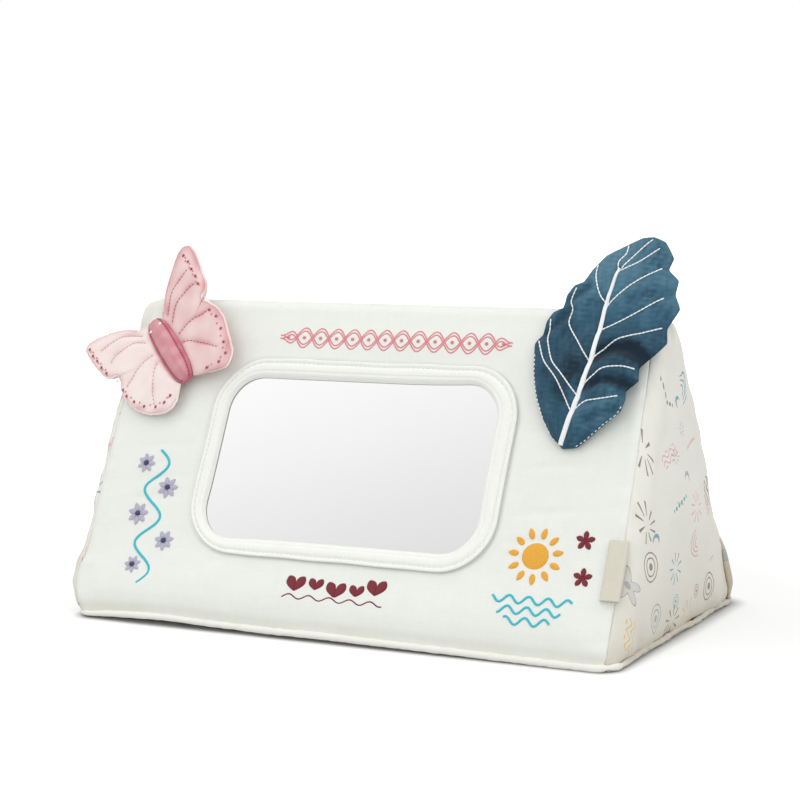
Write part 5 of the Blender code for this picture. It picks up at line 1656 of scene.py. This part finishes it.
def make_label():
    reach, puff, cloth = 0.0100, 0.0026, 0.00045
    profile = smooth_line(
        [
            (-0.0008, 0.0003), (-reach * 0.4, 0.0003), (-reach * 0.85, 0.0003), (-reach * 0.98, puff * 0.3),
            (-reach * 0.99, puff * 0.7), (-reach * 0.86, puff * 0.95), (-reach * 0.5, puff),
            (-reach * 0.15, puff * 0.98), (-0.0001, puff * 0.85), (0.0003, puff * 0.5), (0.0001, 0.0004),
        ], 70,
    )[::-1]
    seat = on_slope(SEAM_ACROSS + 0.0028, 0.051, 0.00035) @ spin(90, "Z")
    cloth_strip(
        "ribbon_label", profile * (-1, 1), 0.031, seat, ribbon_cotton, "label", cloth, "label_loop", "ribbon"
    )


make_tape()
make_label()

# %% [markdown]
# The imported nodes that stay in view, and the hidden ones inside, each get one finish in place
# of the slots they had. Nothing of them is moved.

# %% Finishes for the imported nodes
NODE_FINISHES = {
    "mirror_sheet": mirror_film, "mirror_backing": board, "mirror_pocket_lining": plain_lining,
    "butterfly_body_stuffing": filling, "left_wing_wadding": filling, "right_wing_wadding": filling,
}
for node_name, material in NODE_FINISHES.items():
    node_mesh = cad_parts[node_name].data
    node_mesh.materials.clear()
    node_mesh.materials.append(material)
print("finished nodes:", len(NODE_FINISHES))

# %% [markdown]
# The studio is plain: a white floor and a white surround, a broad soft light from the upper left and
# a sky that is brighter in front. Camera rays see the surround as pure white. Mirror-like rays see a
# soft gradation instead, as from a large lit card, which is what gives a real mirror its grey sweep.
# The floor adds a little white of its own for camera and mirror-like rays, so that it matches the
# surround but keeps shadows. That white is weaker towards the right, which paints a faint shadow
# there, and is left out under the base and, fading back in, for a few millimetres round it, which
# paints a contact shadow.

# %% Studio
CARD_WAY, FRONT_WAY, PAINTED_SHADOW_WAY = (-0.319, 0.7725, 0.549), (0.40, -0.79, 0.46), (0.8, 0.6, 0)
FLOOR_HALF = 4.0


def make_world():
    world = bpy.data.worlds.new("studio")
    bpy.context.scene.world = world
    world.use_nodes = True
    tree = world.node_tree
    tree.nodes.clear()
    rays = add_node(tree, "ShaderNodeLightPath")
    direction = add_node(tree, "ShaderNodeTexCoord").outputs["Generated"]
    card = smooth_range(tree, along_way(tree, direction, CARD_WAY), -0.085, 0.075, 0.765, 1.04)
    light_side = smooth_range(tree, along_way(tree, direction, FRONT_WAY), -0.8, 0.6, 0.44, 0.89)
    sky = add_node(tree, "ShaderNodeBackground", {"Color": (0.99, 1.0, 0.985, 1), "Strength": light_side})
    white = add_node(tree, "ShaderNodeBackground", {"Color": (1, 1, 1, 1), "Strength": 1.0})
    seen = add_node(tree, "ShaderNodeBackground", {"Color": (1, 1, 1, 1), "Strength": card})
    mirrored = calc(tree, "MAXIMUM", rays.outputs["Is Glossy Ray"], rays.outputs["Is Transmission Ray"])
    first = add_node(tree, "ShaderNodeMixShader", {0: mirrored, 1: sky.outputs[0], 2: seen.outputs[0]})
    both = add_node(
        tree, "ShaderNodeMixShader", {0: rays.outputs["Is Camera Ray"], 1: first.outputs[0], 2: white.outputs[0]}
    )
    output = add_node(tree, "ShaderNodeOutputWorld")
    tree.links.new(both.outputs[0], output.inputs[0])


def make_floor():
    mesh = bpy.data.meshes.new("floor")
    corners = [(x * FLOOR_HALF, y * FLOOR_HALF, 0) for x, y in ((-1, -1), (1, -1), (1, 1), (-1, 1))]
    mesh.from_pydata(corners, [], [(0, 1, 2, 3)])
    floor = bpy.data.objects.new("floor", mesh)
    bpy.context.scene.collection.objects.link(floor)
    material, tree, shader = principled("floor", Roughness=0.9, Specular_IOR_Level=0.1)
    shader.inputs["Base Color"].default_value = (0.66, 0.66, 0.66, 1)
    rays = add_node(tree, "ShaderNodeLightPath")
    place = add_node(tree, "ShaderNodeTexCoord").outputs["Object"]
    away = add_node(tree, "ShaderNodeVectorMath", {0: place}, operation="LENGTH").outputs["Value"]
    # Painted shadow: the floor's added glow near the wedge is weaker towards the right.
    shaded = along_way(tree, place, PAINTED_SHADOW_WAY)
    near = smooth_range(tree, shaded, 0.09, 0.19, 0.56, 0.49)
    glow = smooth_range(tree, away, 0.21, 0.42, near, 1.0)
    # Painted contact shadow: no added glow under the base, fading back in over a few millimetres round it, over more at
    # the right.
    beyond = place
    for operation, value in (
        ("SUBTRACT", (LEFT_FOOT_DRAW / 2, 0, 0)), ("ABSOLUTE", None),
        ("SUBTRACT", (*(BASE_HALF - END_CORNER).tolist(), 0)), ("MAXIMUM", (0, 0, 0)), ("LENGTH", None),
    ):
        step = add_node(tree, "ShaderNodeVectorMath", {0: beyond, **({1: value} if value else {})}, operation=operation)
        beyond = step.outputs["Value" if operation == "LENGTH" else "Vector"]
    reach = smooth_range(tree, shaded, 0.09, 0.15, END_CORNER + 0.0055, END_CORNER + 0.010)
    outside_painted_contact_shadow = smooth_range(tree, beyond, END_CORNER - 0.004, reach, 0.0, 1.0)
    strength = calc(tree, "MULTIPLY", glow, outside_painted_contact_shadow)
    white = add_node(tree, "ShaderNodeEmission", {"Strength": strength})
    pale = add_node(tree, "ShaderNodeBsdfDiffuse", {"Color": (0.5, 0.5, 0.5, 1)})
    both = add_node(tree, "ShaderNodeAddShader", {0: pale.outputs[0], 1: white.outputs[0]})
    seen = calc(tree, "MAXIMUM", rays.outputs["Is Camera Ray"], rays.outputs["Is Glossy Ray"])
    chosen = add_node(tree, "ShaderNodeMixShader", {0: seen, 1: shader.outputs[0], 2: both.outputs[0]})
    tree.links.new(chosen.outputs[0], tree.nodes["Material Output"].inputs[0])
    mesh.materials.append(material)


def add_light(name, place, size, power, target=(0, 0, 0.07)):
    light = bpy.data.objects.new(name, bpy.data.lights.new(name, "AREA"))
    light.data.shape, light.data.size, light.data.energy = "DISK", size, power
    light.visible_glossy = False
    aim = (Vector(place) - Vector(target)).to_track_quat("Z", "Y")
    light.matrix_world = Matrix.Translation(place) @ aim.to_matrix().to_4x4()
    bpy.context.scene.collection.objects.link(light)


make_world()
make_floor()
add_light("key light", (-1.0, -1.6, 1.7), 2.8, 8.8)
add_light("top light", (-0.3, -0.1, 2.0), 1.5, 6)
add_light("fill light", (1.7, -0.4, 1.0), 3.0, 9)
bpy.context.scene.view_settings.view_transform = "Standard"
